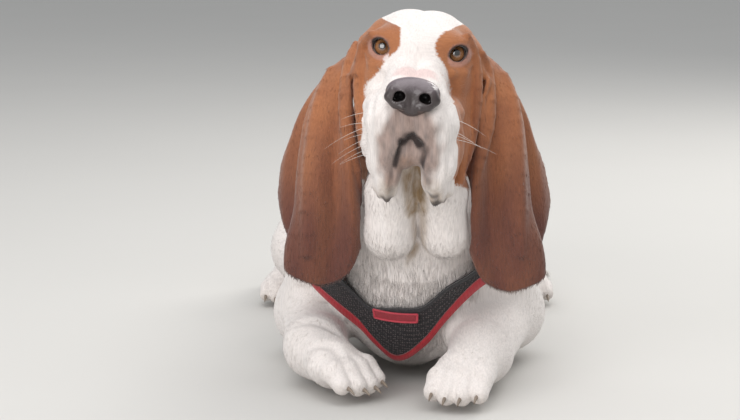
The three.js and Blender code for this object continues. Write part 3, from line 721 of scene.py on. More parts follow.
# Creases in the loose skin of the tucked foreleg, as x and z
LEG_CREASES = [
    ([-128, -112, -96, -84], [93, 94, 89, 80]),
    ([-126, -108, -92, -78], [72, 76, 73, 66]),
    ([-106, -94, -84, -76], [56, 60, 58, 52]),
]


def creases_of(form):
    parts = []
    for xs, zs in LEG_CREASES:
        ys = front_of(form, xs, zs, -140.0, 60.0)
        beads = [((x, y, z), r) for x, y, z, r in zip(xs, ys, zs, (1.2, 2.4, 2.4, 1.0))]
        parts.append(within(melt(2, *chain(*beads)), (-150, -130, 30), (-55, 80, 115)))
    return parts


leg_creases = creases_of(fore_forms["right"])


# The whole skin
head_on_neck = melt(20, head, within(head_join, (-90, -120, 200), (100, 110, 420)))


def skin_form(p):
    d = soften(soften(body_form(p), head_on_neck(p), 10), throat(p), 10)
    d = np.minimum(d, soften(d, tail(p), 14))
    for crease in leg_creases:
        d = -soften(-d, crease(p), 7)
    d = d + COAT_DEPTH - 0.5 * wobble(p, 70, 11)
    root = 1.2 + 14 * smooth_step(p[:, 2], 322, 372)
    for form in ear_forms.values():
        d = soften(d, form(p), root)
    for form, k in rolls:
        d = soften(d, form(p) + COAT_DEPTH, k)
    return d


CELL = 2.4
FACE_CELL = 1.25
FACE_BOX = ((-74, -246, 196), (86, -66, 420))  # where the mesh is finer
BLOCK = 4


def spaced(low, high, fine_low, fine_high):
    """Places from low to high, closer together between fine_low and fine_high."""
    places = [low]
    while places[-1] < high or (len(places) - 1) % BLOCK:
        away = max(fine_low - places[-1], places[-1] - fine_high, 0)
        places.append(places[-1] + min(CELL, FACE_CELL + away * 0.08))
    return np.array(places, np.float32)


def net_of(form, axes, reach):
    """A closed mesh of a form, as points and four-cornered faces, from the cells that it crosses."""
    counts = [len(axis) - 1 for axis in axes]
    rough = [axis[BLOCK // 2 :: BLOCK] for axis in axes]
    middles = np.stack(np.meshgrid(*rough, indexing="ij"), axis=-1).reshape(-1, 3)
    near = np.abs(form(middles)) < reach
    near = near.reshape([len(r) for r in rough])
    for axis in range(3):
        near = near.repeat(BLOCK, axis=axis)
    corners = [(a, b, c) for a in (0, 1) for b in (0, 1) for c in (0, 1)]
    wanted = np.zeros([n + 1 for n in counts], bool)
    for a, b, c in corners:
        wanted[a : a + counts[0], b : b + counts[1], c : c + counts[2]] |= near
    values = np.full(wanted.shape, 1e3, np.float32)
    index = np.argwhere(wanted)
    spots = np.stack([axes[a][index[:, a]] for a in range(3)], axis=1)
    for start in range(0, len(spots), 200000):
        part = slice(start, start + 200000)
        values[tuple(index[part].T)] = form(spots[part])
    inside = values < 0
    total = np.zeros(counts, np.int8)
    for a, b, c in corners:
        total += inside[a : a + counts[0], b : b + counts[1], c : c + counts[2]]
    cells = np.argwhere((total > 0) & (total < 8) & near)
    cell_id = np.full(counts, -1, np.int64)
    cell_id[tuple(cells.T)] = np.arange(len(cells))
    sums = np.zeros((len(cells), 3), np.float32)
    hits = np.zeros(len(cells), np.float32)
    for first in corners:
        for axis in range(3):
            if first[axis]:
                continue
            second = tuple(n + (a == axis) for a, n in enumerate(first))
            f = values[tuple((cells + first).T)]
            g = values[tuple((cells + second).T)]
            crossed = (f < 0) != (g < 0)
            share = np.where(crossed, f / np.where(crossed, f - g, 1), 0)
            place = np.tile(np.array(first, np.float32), (len(cells), 1))
            place[:, axis] += share
            sums += place * crossed[:, None]
            hits += crossed
    shares = sums / hits[:, None]
    points = np.empty((len(cells), 3), np.float32)
    for axis in range(3):
        start = axes[axis][cells[:, axis]]
        points[:, axis] = start + shares[:, axis] * (axes[axis][cells[:, axis] + 1] - start)
    faces = []
    for axis in range(3):
        others = [a for a in range(3) if a != axis]
        span = [slice(1, n) for n in counts]
        span[axis] = slice(0, counts[axis])
        ahead = list(span)
        ahead[axis] = slice(1, counts[axis] + 1)
        here, there = inside[tuple(span)], inside[tuple(ahead)]
        edge = np.argwhere(here != there)
        starts = edge + [0 if a == axis else 1 for a in range(3)]
        flip = here[tuple(edge.T)] != (axis == 1)
        ring = []
        for b, c in ((1, 1), (0, 1), (0, 0), (1, 0)):
            at = starts.copy()
            at[:, others[0]] -= b
            at[:, others[1]] -= c
            ring.append(cell_id[tuple(at.T)])
        ring = np.stack(ring, axis=1)
        ring[~flip] = ring[~flip][:, ::-1]
        faces.append(ring)
    faces = np.concatenate(faces)
    return points, faces[(faces >= 0).all(axis=1)]


def mesh_object(name, points, faces, smooth=True):
    mesh = bpy.data.meshes.new(name)
    points = np.asarray(points, np.float32)
    faces = np.asarray(faces, np.int32)
    mesh.vertices.add(len(points))
    mesh.vertices.foreach_set("co", points.ravel())
    mesh.loops.add(faces.size)
    mesh.loops.foreach_set("vertex_index", faces.ravel())
    mesh.polygons.add(len(faces))
    mesh.polygons.foreach_set("loop_start", np.arange(len(faces), dtype=np.int32) * faces.shape[1])
    mesh.update(calc_edges=True)
    mesh.validate()
    mesh.polygons.foreach_set("use_smooth", np.full(len(mesh.polygons), smooth))
    thing = bpy.data.objects.new(name, mesh)
    bpy.context.scene.collection.objects.link(thing)
    return thing


def read(rows, key, size, kind=np.float32):
    """One value of each row of a mesh's list."""
    values = np.empty(len(rows) * size, kind)
    rows.foreach_get(key, values)
    return values.reshape(-1, size)


def points_of(thing):
    return read(thing.data.vertices, "co", 3)


def normals_of(thing):
    return read(thing.data.vertex_normals, "vector", 3)


def put_points(thing, points):
    thing.data.vertices.foreach_set("co", np.asarray(points, np.float32).ravel())
    thing.data.update()


def put_marks(thing, marks):
    """Keeps values or vectors at a mesh's points, for its material to read."""
    for name, values in marks.items():
        values = np.asarray(values, np.float32).reshape(len(thing.data.vertices), -1)
        kind, key = ("FLOAT_VECTOR", "vector") if values.shape[1] == 3 else ("FLOAT", "value")
        attribute = thing.data.attributes.new(name, kind, "POINT")
        attribute.data.foreach_set(key, values.ravel())


def put_uv(thing, name, places):
    """Gives each corner of a mesh the place in a UV map that its point has."""
    layer = thing.data.uv_layers.new(name=name)
    index = read(thing.data.loops, "vertex_index", 1, np.int32)[:, 0]
    layer.data.foreach_set("uv", places[index].ravel())


def settled(form, thing, reach, lowest=-1000.0, rounds=2):
    """Moves a mesh's points along their normals onto the surface of a form."""
    for _ in range(rounds):
        points = points_of(thing)
        points -= normals_of(thing) * np.clip(form(points), -reach, reach)[:, None]
        points[:, 2] = np.maximum(points[:, 2], lowest)
        put_points(thing, points)


def applied(thing):
    """The object's mesh with its modifiers applied."""
    graph = bpy.context.evaluated_depsgraph_get()
    mesh = bpy.data.meshes.new_from_object(thing.evaluated_get(graph))
    thing.modifiers.clear()
    thing.data = mesh
    return thing


SKIN_TRIANGLES = 190000
SKIN_BOX = ((-192, -246, -8), (196, 676, 420))
LEVELS = 10  # of coarseness


def make_skin():
    axes = [spaced(*spans) for spans in zip(*SKIN_BOX, *FACE_BOX)]
    points, faces = net_of(skin_form, axes, CELL * BLOCK * 1.15)
    skin = mesh_object("hound_skin", points, faces)
    settled(skin_form, skin, 1.0, COAT_DEPTH * 0.2)
    triangles = 2 * len(faces)
    if triangles > SKIN_TRIANGLES:
        group = skin.vertex_groups.new(name="coarse")
        finest = smooth_step(points[:, 1], -20, 60)
        weights = 0.25 + 0.75 * np.where(points[:, 2] > 215, finest, smooth_step(points[:, 1], -90, 0))
        for level in range(LEVELS + 1):
            chosen = np.nonzero(np.round(weights * LEVELS) == level)[0]
            group.add(chosen.tolist(), level / LEVELS, "REPLACE")
        thin = skin.modifiers.new("thin", "DECIMATE")
        thin.ratio = SKIN_TRIANGLES / triangles
        thin.vertex_group = "coarse"
        thin.vertex_group_factor = 1.0
        applied(skin)
        skin.vertex_groups.clear()
    skin.data.polygons.foreach_set("use_smooth", np.full(len(skin.data.polygons), True))
    return skin


# Markings. Each is 0 to 1 at a row of points in the hound's frame.
in_head = placed(lambda p: p, HEAD_PLACE)


def near_path(p, path, reach, fade):
    d = melt(0.01, *chain(*[(q, 0) for q in path]))(p)
    return 1 - smooth_step(d, reach, reach + fade)


def on_ear(p):
    """Whether a point of the skin is nearer to an ear than to the rest of the flesh."""
    d = np.full(len(p), 99.0, np.float32)
    for form in ear_forms.values():
        d = np.minimum(d, form(p))
    for form, _ in rolls:
        d = np.minimum(d, form(p) + COAT_DEPTH)
    return d < solid_flesh(p) + 0.5


MASK_HEIGHTS = [-150, -120, -90, -70, -50, -38, -25, -12, 0, 14, 22, 29, 60]
MASK_LEFT = [33, 38, 44, 46, 42, 38, 33, 26, 21, 20, 24, 44, 60]  # the hound's left
MASK_RIGHT = [52, 52, 52, 52, 51, 48, 38, 31, 21, 20, 22, 44, 60]


def red_of(p, ear):
    """Where the coat is red-brown, as a value that is over a half inside and passes it evenly."""
    q = in_head(p)
    left, right = [np.interp(q[:, 2], MASK_HEIGHTS, mask) for mask in (MASK_LEFT, MASK_RIGHT)]
    edge = np.where(q[:, 0] > 0, left, right) + 2.5 * wobble(p, 33, 21)
    back_of_head = smooth_step(q[:, 1], 40, 95) * 24
    across = (np.abs(q[:, 0] + 1.5) - edge + back_of_head) / 16
    behind_muzzle = (q[:, 1] + 62) / 16
    above_flews = (q[:, 2] + 138 + 0.25 * q[:, 1]) / 14
    above_throat = (p[:, 2] - 223 - 0.4 * np.maximum(p[:, 1], 0)) / 14
    mask = np.minimum.reduce([across, behind_muzzle, above_flews, above_throat]) + 0.5
    saddle = patch(p, (8, 300, 262), (118, 118, 92), 31)
    rump = patch(p, (-30, 520, 200), (110, 84, 92), 32)
    shoulder = patch(p, (84, 150, 236), (48, 46, 56), 33)
    flank = patch(p, (-104, 246, 150), (30, 34, 34), 34)
    tail_red = np.where(p[:, 1] > 590, 0.5 + (96 - p[:, 0]) / 30, 0)
    body = np.maximum.reduce([saddle, rump, shoulder, flank, tail_red])
    red = np.maximum(mask, body) - 0.3 * lids_of(q)
    red = np.where(ear, 1.0, red)
    return np.clip(red, 0, 1)


def patch(p, centre, radii, seed):
    q = (p - np.array(centre, np.float32)) / np.array(radii, np.float32)
    unrest = 0.14 * wobble(p, 90, seed) + 0.05 * wobble(p, 30, seed + 50)
    return 0.5 + (1 - length_of(q) + unrest) * 2.2


def from_eye(q, sign):
    return q - np.array(eye_centre(sign), np.float32)


def near_eye(q, sign):
    return length_of(from_eye(q, sign)) < 22


def below_eye(q, sign):
    """How far a point is below the middle of an eye, along its drooping lids."""
    return -from_eye(q, sign) @ np.array(eye_axes(sign)[2], np.float32)


def lids_of(q):
    """The pale lids, as a ring round each eye that is wider below it."""
    lids = np.zeros(len(q), np.float32)
    for sign in (1, -1):
        below = smooth_step(below_eye(q, sign), -4, 6)
        ring = opening_of(sign)(q)
        lids = np.maximum(lids, (1 - smooth_step(ring - 3.5 * below, 1.5, 4.8)) * near_eye(q, sign))
    return lids


def dark_of(p, ear):
    """Black-brown skin at the rims of the eyes and along the lips."""
    q = in_head(p)
    dark = np.zeros(len(p), np.float32)
    for sign in (1, -1):
        ring = opening_of(sign, 1.1)(q)
        below = smooth_step(below_eye(q, sign), -3, 3)
        dark = np.maximum(dark, (1 - smooth_step(ring + 1.1 * below, 0.5, 2.3)) * near_eye(q, sign))
        path = [hung(sign, point) for point in LIP_EDGE]
        lips = near_path(q, path, 2.0, 5.0) * (0.55 + 0.45 * wobble(p, 14, 41 + sign))
        dark = np.maximum(dark, 0.85 * lips)
        corner = length_of(q - np.array(hung(sign, LIP_EDGE[4]), np.float32))
        dark = np.maximum(dark, 0.85 * (1 - smooth_step(corner, 4, 9)))
    dark = np.maximum(dark, 0.95 * near_path(q, MOUTH_LINE, 2.0, 3.5))
    dark = np.maximum(dark, 0.95 * near_path(q, MOUTH_LINE[2:5], 4.5, 3.5))
    dark = np.maximum(dark, 0.7 * near_path(q, LIP_SPLIT, 1.0, 2.0))
    return np.clip(np.where(ear, 0, dark), 0, 1)


def bare_of(p):
    """Grey-brown skin that shows through on the front of the muzzle and the chin."""
    q = in_head(p)
    front = ellipsoid((0, -112, -98), (33, 26, 60))(q) + 3 * wobble(p, 17, 44)
    chin = ellipsoid((0, -94, -100), (20, 22, 20))(q)
    near = 1 - smooth_step(front, -9, 8)
    return np.clip(np.maximum(near, 1 - smooth_step(chin, -2, 8)), 0, 1)


def pink_of(p, ear):
    """Rosy skin under the hair of the bridge behind the nose and of the lids."""
    q = in_head(p)
    bridge = ellipsoid((0, -76, -14), (24, 30, 15))(q) + 2 * wobble(p, 19, 45)
    pink = np.maximum(0.85 * (1 - smooth_step(bridge, -7, 7)), 0.55 * lids_of(q))
    return np.clip(np.where(ear, 0, pink), 0, 1)


def stain_and_shade_of(p):
    """Tan stains on the chest, the chin and the tips of the flews, and painted shade down the crease of the
    throat and in its hollow between the flews; a little tan low on the feet.
    """
    q = in_head(p)
    streak = near_path(p, [(3, -84, 162), (-4, -72, 148), (-9, -64, 128)], 1.5, 6)
    # Painted shade: the crease down the dewlap and the throat between the flews lie in shadow and are given
    # the tan colour
    crease = near_path(p, [(6, -132, 250), (6, -118, 190), (8, -98, 158)], 1, 12)
    throat = near_path(p, [(-3, -134, 268), (-1, -132, 240), (2, -124, 212)], 8, 10)
    chin = near_path(q, [(0, -100, -108), (0, -86, -114)], 4, 12)
    tips = np.zeros(len(p), np.float32)
    for sign in (1, -1):
        path = [hung(sign, point) for point in LIP_EDGE[3:6]]
        tips = np.maximum(tips, near_path(q, path, 4, 12))
    feet = 1 - smooth_step(p[:, 2], 4, 30)
    shares = [0.8 * streak, 0.7 * crease, throat, 0.8 * chin, 0.6 * tips, 0.25 * feet]
    return np.clip(np.maximum.reduce(shares), 0, 1)


def heading_of(start, end):
    way = np.array(end, np.float32) - np.array(start, np.float32)
    return way / np.linalg.norm(way)


def along_surface(way, normals):
    """The part of each vector that lies along the surface, made one long."""
    return unit(way - normals * np.einsum("ij,ij->i", way, normals)[:, None])


def lie_of(p, normals, ear):
    """The way that the hair lies, as unit rows along the surface."""
    q = in_head(p)
    back = np.tile(np.float32([0, 1, -0.25]), (len(p), 1))
    way = back + np.float32([0, 0, -1.2]) * smooth_step(np.abs(normals[:, 0]), 0.5, 0.95)[:, None]
    front = (p[:, 1] < 40) & (p[:, 2] < 300)
    way[front] = np.float32([0, 0.15, -1])
    face_part = (q[:, 2] > -52) & (p[:, 1] < 80) & (p[:, 2] > 250)
    way[face_part] = np.float32([0, 1, 0.15]) + 0.5 * np.sign(q[face_part, :1]) * np.float32([1, 0, -0.6])
    flews = (q[:, 2] <= -52) & (q[:, 1] < 30) & (p[:, 2] > 215)
    way[flews] = np.float32([0, 0.35, -1])
    for leg in FORELEGS.values():
        arm = limb(leg["elbow"], 52, leg["toes"], 44)(p) < 0
        way[arm & (p[:, 2] < 95)] = heading_of(leg["elbow"], leg["toes"])
    for leg in HINDLEGS.values():
        foot = limb(leg["hock"], 30, leg["toes"], 30)(p) < 0
        way[foot] = heading_of(leg["hock"], leg["toes"])
    for i in range(1, len(TAIL) - 1):
        at = length_of(p - np.array(TAIL[i][0], np.float32)) < 42
        way[at & (p[:, 1] > 585)] = heading_of(TAIL[i - 1][0], TAIL[i + 1][0])
    way[ear] = np.float32([0, 0, -1])
    way = way + 0.16 * np.stack([wobble(p, 46, seed) for seed in (61, 62, 63)], axis=1)
    return along_surface(way, normals)


def evened(values, thing, rounds):
    """Values of a mesh's points, each averaged with its neighbours."""
    edges = read(thing.data.edges, "vertices", 2, np.int32)
    a, b = edges.T
    count = len(values)
    share = 1 / (1 + np.bincount(edges.ravel(), minlength=count))[:, None]
    for _ in range(rounds):
        total = values.copy()
        for n in range(values.shape[1]):
            total[:, n] += np.bincount(a, values[b, n], count) + np.bincount(b, values[a, n], count)
        values = total * share
    return values


def marks_of(thing, spots, normals):
    """The markings and the lie of the hair at each point of the skin."""
    ear = on_ear(spots)
    values = {
        "red": red_of(spots, ear),
        "dark": dark_of(spots, ear),
        "bare": bare_of(spots),
        "pink": pink_of(spots, ear),
        # tan holds real stains and painted shade in the throat
        "tan": stain_and_shade_of(spots),
        "shade": ear_shade(spots, ear),
    }
    marks = {name: value[:, None] for name, value in values.items()}
    marks["lie"] = unit(evened(lie_of(spots, normals, ear), thing, 24))
    return marks


def ear_shade(p, ear):
    """How much darker an ear is: more towards its tip and in its folds."""
    down = smooth_step(-p[:, 2], -330, -170)
    bands = 0.14 * wobble(p * np.float32([1, 1, 0.22]), 26, 71)
    return np.where(ear, np.clip(0.1 + 0.8 * down + bands, 0, 1), 0)


# Materials
class Paint:
    """A material and the nodes that are added to it."""

    def __init__(self, name):
        self.material = bpy.data.materials.new(name)
        self.material.use_nodes = True
        self.tree = self.material.node_tree
        self.shader = self.tree.nodes["Principled BSDF"]

    def feed(self, value, socket):
        """Gives a socket a number or a colour, or links it to another socket."""
        if isinstance(value, (int, float)):
            socket.default_value = value
        elif isinstance(value, tuple):
            socket.default_value = (*value, 1)
        else:
            self.tree.links.new(value, socket)

    def node(self, kind, inputs=(), **settings):
        made = self.tree.nodes.new("ShaderNode" + kind)
        for key, value in settings.items():
            setattr(made, key, value)
        for key, value in dict(inputs).items():
            self.feed(value, made.inputs[key])
        return made

    def mark(self, name, output="Fac"):
        return self.node("Attribute", attribute_name=name).outputs[output]

    def reckon(self, operation, a, b, clamp=False):
        return self.node("Math", {0: a, 1: b}, operation=operation, use_clamp=clamp).outputs[0]

    def plus(self, a, b):
        return self.reckon("ADD", a, b)

    def times(self, a, b, clamp=False):
        return self.reckon("MULTIPLY", a, b, clamp)

    def mix(self, factor, a, b, blend="MIX"):
        inputs = {0: factor, 6: a, 7: b}
        return self.node("Mix", inputs, data_type="RGBA", blend_type=blend).outputs[2]

    def shaded(self, colour, value):
        """A colour times a value."""
        grey = self.node("CombineColor", {0: value, 1: value, 2: value}).outputs[0]
        return self.mix(1.0, colour, grey, "MULTIPLY")

    def place(self):
        return self.node("TexCoord").outputs["Object"]

    def noise(self, stretch, detail=2.0):
        mapping = self.node("Mapping", {"Vector": self.place()})
        mapping.inputs["Scale"].default_value = stretch
        inputs = {"Vector": mapping.outputs["Vector"], "Scale": 1.0, "Detail": detail}
        return self.node("TexNoise", inputs).outputs["Fac"]

    def bump(self, height, strength, distance, invert=False):
        inputs = {"Height": height, "Strength": strength, "Distance": distance}
        made = self.node("Bump", inputs, invert=invert)
        self.feed(made.outputs["Normal"], self.shader.inputs["Normal"])

    def done(self, colour, **inputs):
        """Gives the shader its colour and the constants named, and returns the material."""
        self.feed(colour, self.shader.inputs["Base Color"])
        for key, value in inputs.items():
            self.feed(value, self.shader.inputs[SOCKETS[key]])
        return self.material


SOCKETS = {
    "roughness": "Roughness",
    "metallic": "Metallic",
    "sheen": "Sheen Weight",
    "sheen_roughness": "Sheen Roughness",
    "specular": "Specular IOR Level",
    "coat": "Coat Weight",
    "coat_roughness": "Coat Roughness",
    "coat_ior": "Coat IOR",
}

# Colours of the coat and the skin
WHITE = (0.80, 0.755, 0.735)
WHITE_WARM = (0.66, 0.585, 0.54)
RED = (0.43, 0.175, 0.070)
RED_DEEP = (0.27, 0.090, 0.040)
EAR_DARK = (0.120, 0.042, 0.030)
MUZZLE_PALE = (0.32, 0.205, 0.165)
MUZZLE_DARK = (0.12, 0.072, 0.057)
SKIN_PINK = (0.60, 0.37, 0.35)
RIM_DARK = (0.022, 0.014, 0.013)
# Tan of the stains, also used for painted shade in the throat
STAIN_AND_SHADE_TAN = (0.29, 0.195, 0.105)


def streaks(paint, across, along):
    """Fine noise that is drawn out along the lie of the hair."""
    parts = paint.node("SeparateXYZ", {0: paint.mark("lie", "Vector")}).outputs
    shares = []
    for axis in range(3):
        stretch = [across] * 3
        stretch[axis] = along
        shares.append(paint.times(paint.noise(stretch, 3.0), paint.times(parts[axis], parts[axis])))
    return paint.plus(paint.plus(shares[0], shares[1]), shares[2])


def coat_material(name, depth):
    paint = Paint(name)
    red, dark, bare, pink, tan, shade = [
        paint.mark(mark) for mark in ("red", "dark", "bare", "pink", "tan", "shade")
    ]
    hair = streaks(paint, 620, 70)
    coarse = streaks(paint, 150, 24)
    patches = paint.noise((22, 22, 22))
    spots = paint.noise((120, 120, 60), 3.0)
    ragged = paint.times(paint.plus(hair, -0.5), 0.55)
    edge = paint.times(paint.plus(paint.plus(red, ragged), -0.42), 6.0, clamp=True)
    # The tan mark: real stains, with painted shade in the throat and down its crease
    stain_and_shade = paint.times(paint.times(tan, spots), 1.6, clamp=True)
    white = paint.mix(stain_and_shade, paint.mix(paint.times(coarse, 0.5), WHITE, WHITE_WARM), STAIN_AND_SHADE_TAN)
    brown = paint.mix(shade, paint.mix(patches, RED, RED_DEEP), EAR_DARK)
    colour = paint.mix(edge, white, brown)
    mottle = paint.plus(paint.times(coarse, 1.6), spots)
    mottle = paint.times(paint.plus(mottle, -0.95), 1.6, clamp=True)
    colour = paint.mix(paint.times(pink, 0.7), colour, SKIN_PINK)
    colour = paint.mix(paint.times(bare, 0.82), colour, paint.mix(mottle, MUZZLE_DARK, MUZZLE_PALE))
    colour = paint.mix(dark, colour, RIM_DARK)
    colour = paint.shaded(colour, paint.plus(paint.times(hair, 0.6), 0.70))
    paint.bump(paint.plus(hair, paint.times(coarse, 0.8)), 0.55, depth)
    return paint.done(colour, roughness=0.72, sheen=0.25, sheen_roughness=0.5, specular=0.25)


def plain_material(name, colour, roughness, metallic=0.0, grain=400.0, depth=0.0004, tint=0.25):
    paint = Paint(name)
    noise = paint.noise((grain, grain, grain), 3.0)
    darker = tuple(c * (1 - tint) for c in colour)
    paint.bump(noise, 0.5, depth)
    return paint.done(paint.mix(noise, darker, colour), roughness=roughness, metallic=metallic)


def finished(thing, paint, slot, *nodes):
    thing.data.materials.clear()
    thing.data.materials.append(paint)
    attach(thing, "root")
    if nodes:
        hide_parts(*nodes)
    return thing


FLESH_NODES = ["head", "neck", "torso", "tail", "ear_left", "ear_right"] + [
    part + side
    for part in ("foreleg_", "forepaw_", "hindleg_", "hindpaw_")
    for side in ("left", "right")
]
coat_paint = coat_material("short_coat", 0.0011)
skin = make_skin()
skin_points = points_of(skin).copy()
skin_normals = normals_of(skin).copy()
skin_marks = marks_of(skin, skin_points, skin_normals)
put_marks(skin, skin_marks)
put_points(skin, in_metres(skin_points))
finished(skin, coat_paint, "white_coat", *FLESH_NODES)


# Eyes
IRIS_ANGLE = 51
PUPIL_ANGLE = 16
GAZE = {1: Vector((0.14, -1, 0.22)), -1: Vector((-0.18, -1, 0.22))}


def eye_material():
    paint = Paint("eye")
    angle = paint.mark("angle")
    ramp = paint.node("ValToRGB", {0: paint.reckon("DIVIDE", angle, 90.0)})
    pupil, iris = PUPIL_ANGLE / 90, IRIS_ANGLE / 90
    stops = [
        (0.0, (0.004, 0.003, 0.003)),
        (pupil, (0.006, 0.004, 0.003)),
        (pupil + 0.02, (0.12, 0.040, 0.010)),
        ((pupil + iris) / 2, (0.40, 0.19, 0.080)),
        (iris - 0.05, (0.30, 0.13, 0.050)),
        (iris - 0.01, (0.03, 0.014, 0.010)),
        (iris + 0.02, (0.05, 0.030, 0.024)),
        (iris + 0.05, (0.55, 0.47, 0.44)),
    ]
    while len(ramp.color_ramp.elements) < len(stops):
        ramp.color_ramp.elements.new(0.5)
    for element, (place, colour) in zip(ramp.color_ramp.elements, stops):
        element.position = place
        element.color = (*colour, 1)
    spoke = paint.node("CombineXYZ", {0: paint.mark("spoke"), 1: paint.times(angle, 0.03)})
    inputs = {"Vector": spoke.outputs[0], "Scale": 9, "Detail": 3}
    streak = paint.node("TexNoise", inputs, noise_dimensions="2D").outputs["Fac"]
    colour = paint.shaded(ramp.outputs[0], paint.plus(paint.times(streak, 1.2), 0.4))
    return paint.done(colour, roughness=0.18, coat=1.0, coat_roughness=0.02, coat_ior=1.9)


def make_eye(side, sign, paint):
    rings, around = 60, 72
    bulge_angle = 30
    look = (HEAD_PLACE.to_3x3() @ GAZE[sign].normalized()).normalized()
    turn = Vector((0, 0, 1)).rotation_difference(look).to_matrix()
    centre = HEAD_PLACE @ eye_centre(sign)
    points, angles, spokes = [], [], []
    for j in range(rings + 1):
        polar = math.pi * j / rings
        bulge = 0.9 * math.exp(-((math.degrees(polar) / bulge_angle) ** 4))
        for t in turns(around):
            c, s = math.cos(t), math.sin(t)
            way = Vector((math.sin(polar) * c, math.sin(polar) * s, math.cos(polar)))
            points.append(centre + turn @ way * (EYE_RADIUS - 0.4 + bulge))
            angles.append(math.degrees(polar))
            spokes.append(3 * math.cos(t) + 2 * math.sin(2 * t))
    eye = mesh_object("eyeball_" + side, in_metres(points), grid_faces(rings + 1, around, True))
    put_marks(eye, {"angle": angles, "spoke": spokes})
    return finished(eye, paint, "eye", "eye_" + side)


eye_paint = eye_material()
for side, sign in SIDES.items():
    make_eye(side, sign, eye_paint)


# Nose
def nose_form(p):
    pad = melt(
        6,
        ellipsoid((0, -108, -34), (26, 14, 14)),
        mirrored(ellipsoid((13, -109, -40), (13.5, 15, 13))),
        ellipsoid((0, -112, -49), (13, 10, 10)),
    )
    wing = [(20, -120, -32), (23.5, -117, -41), (17, -119, -48), (9, -122, -50)]
    wings = mirrored(fold(wing, (3, 3.6, 2.8, 2), 3))
    groove = limb((0, -124, -38), 0.9, (0, -121, -62), 0.9)
    return carve(2, melt(5, pad, wings), nostrils, groove)(p)


NOSE_SPANS = ((-34, 34), (-134, -88), (-66, -12))
NOSE_CELL = 0.7


def make_nose():
    axes = [np.arange(low, high, NOSE_CELL, dtype=np.float32) for low, high in NOSE_SPANS]
    axes = [axis[: (len(axis) - 1) // BLOCK * BLOCK + 1] for axis in axes]
    points, faces = net_of(nose_form, axes, 5)
    nose = mesh_object("nose_pad", points, faces)
    settled(nose_form, nose, 0.3, rounds=1)
    points = points_of(nose)
    # Painted shade: the inside of each nostril darkens towards its back, for the shadow deep in the hole
    nostril_shade = 1 - smooth_step(nostrils(points + np.float32([0, -4, 0])), -1.0, 2.0)
    # Painted light: the top of the nose is paler, as lit from above, and its underside darker, as in shade
    lit_top = smooth_step(points[:, 2] + 0.12 * points[:, 1], -54, -36)
    place = np.array(HEAD_PLACE)
    points = points @ place[:3, :3].T + place[:3, 3]
    put_points(nose, in_metres(points))
    put_marks(nose, {"nostril_shade": nostril_shade, "lit_top": lit_top})
    paint = Paint("nose_leather")
    inputs = {"Vector": paint.place(), "Scale": 620}
    pebbles = paint.node("TexVoronoi", inputs).outputs["Distance"]
    cloud = paint.noise((90, 90, 90), 3.0)
    # Painted light and shade: a dark leather for the shaded underside and a paler lilac one for the lit top
    shaded_leather = paint.mix(cloud, (0.020, 0.013, 0.013), (0.050, 0.033, 0.034))
    lit_leather = paint.mix(cloud, (0.105, 0.080, 0.092), (0.190, 0.150, 0.170))
    colour = paint.mix(paint.mark("lit_top"), shaded_leather, lit_leather)
    # Painted shade: near black inside the nostrils
    colour = paint.mix(paint.mark("nostril_shade"), colour, (0.006, 0.004, 0.004))
    paint.bump(pebbles, 0.5, 0.0006)
    leather = paint.done(colour, roughness=0.40, coat=0.6, coat_roughness=0.18)
    return finished(nose, leather, "nose_leather", "nose")


make_nose()


# Claws
CLAW_LENGTH = 14
CLAW_RADIUS = 2.3


def add_tube(points, faces, rings):
    """Adds a tube to a mesh's points and faces, and gives the number of its first point."""
    first = len(points)
    for ring in rings:
        points.extend(ring)
    for face in grid_faces(len(rings), len(rings[0]), True):
        faces.append(tuple(first + n for n in face))
    return first


def cap_of(first, around):
    """Four-cornered faces that close a ring of points."""
    return [(first, first + i, first + i + 1, first + i + 2) for i in range(1, around - 2, 2)]


def claw_rings(start, heading, rows, around):
    side = Vector((-heading.y, heading.x, 0))
    rings = []
    for j in range(rows):
        t = j / (rows - 1)
        middle = start + heading * CLAW_LENGTH * t + Vector((0, 0, 1.5 * t - 7.0 * t * t))
        width = CLAW_RADIUS * (1 - t) ** 0.6 + 0.2
        ring = []
        for a in turns(around):
            point = middle + (side * math.cos(a) + Vector((0, 0, 1.25 * math.sin(a)))) * width
            point.z = max(point.z, 0.6)
            ring.append(point)
        rings.append(ring)
    return rings


def make_claws():
    points, faces = [], []
    rows, around = 7, 10
    for legs_of, toes in ((FORELEGS, FORE_TOES), (HINDLEGS, HIND_TOES)):
        for leg in legs_of.values():
            for toe in toes_of(leg, toes["spread"]):
                heading = toe["heading"]
                start = toe["tip"] + heading * (toes["radii"][2] - 6) - Vector((0, 0, 1.5))
                first = add_tube(points, faces, claw_rings(start, heading, rows, around))
                faces += cap_of(first + (rows - 1) * around, around)
    claws = mesh_object("claws", in_metres(points), faces)
    paint = plain_material("claw_horn", (0.30, 0.24, 0.19), 0.35, grain=180, depth=0.0002, tint=0.45)
    return finished(claws, paint, "white_coat")


make_claws()


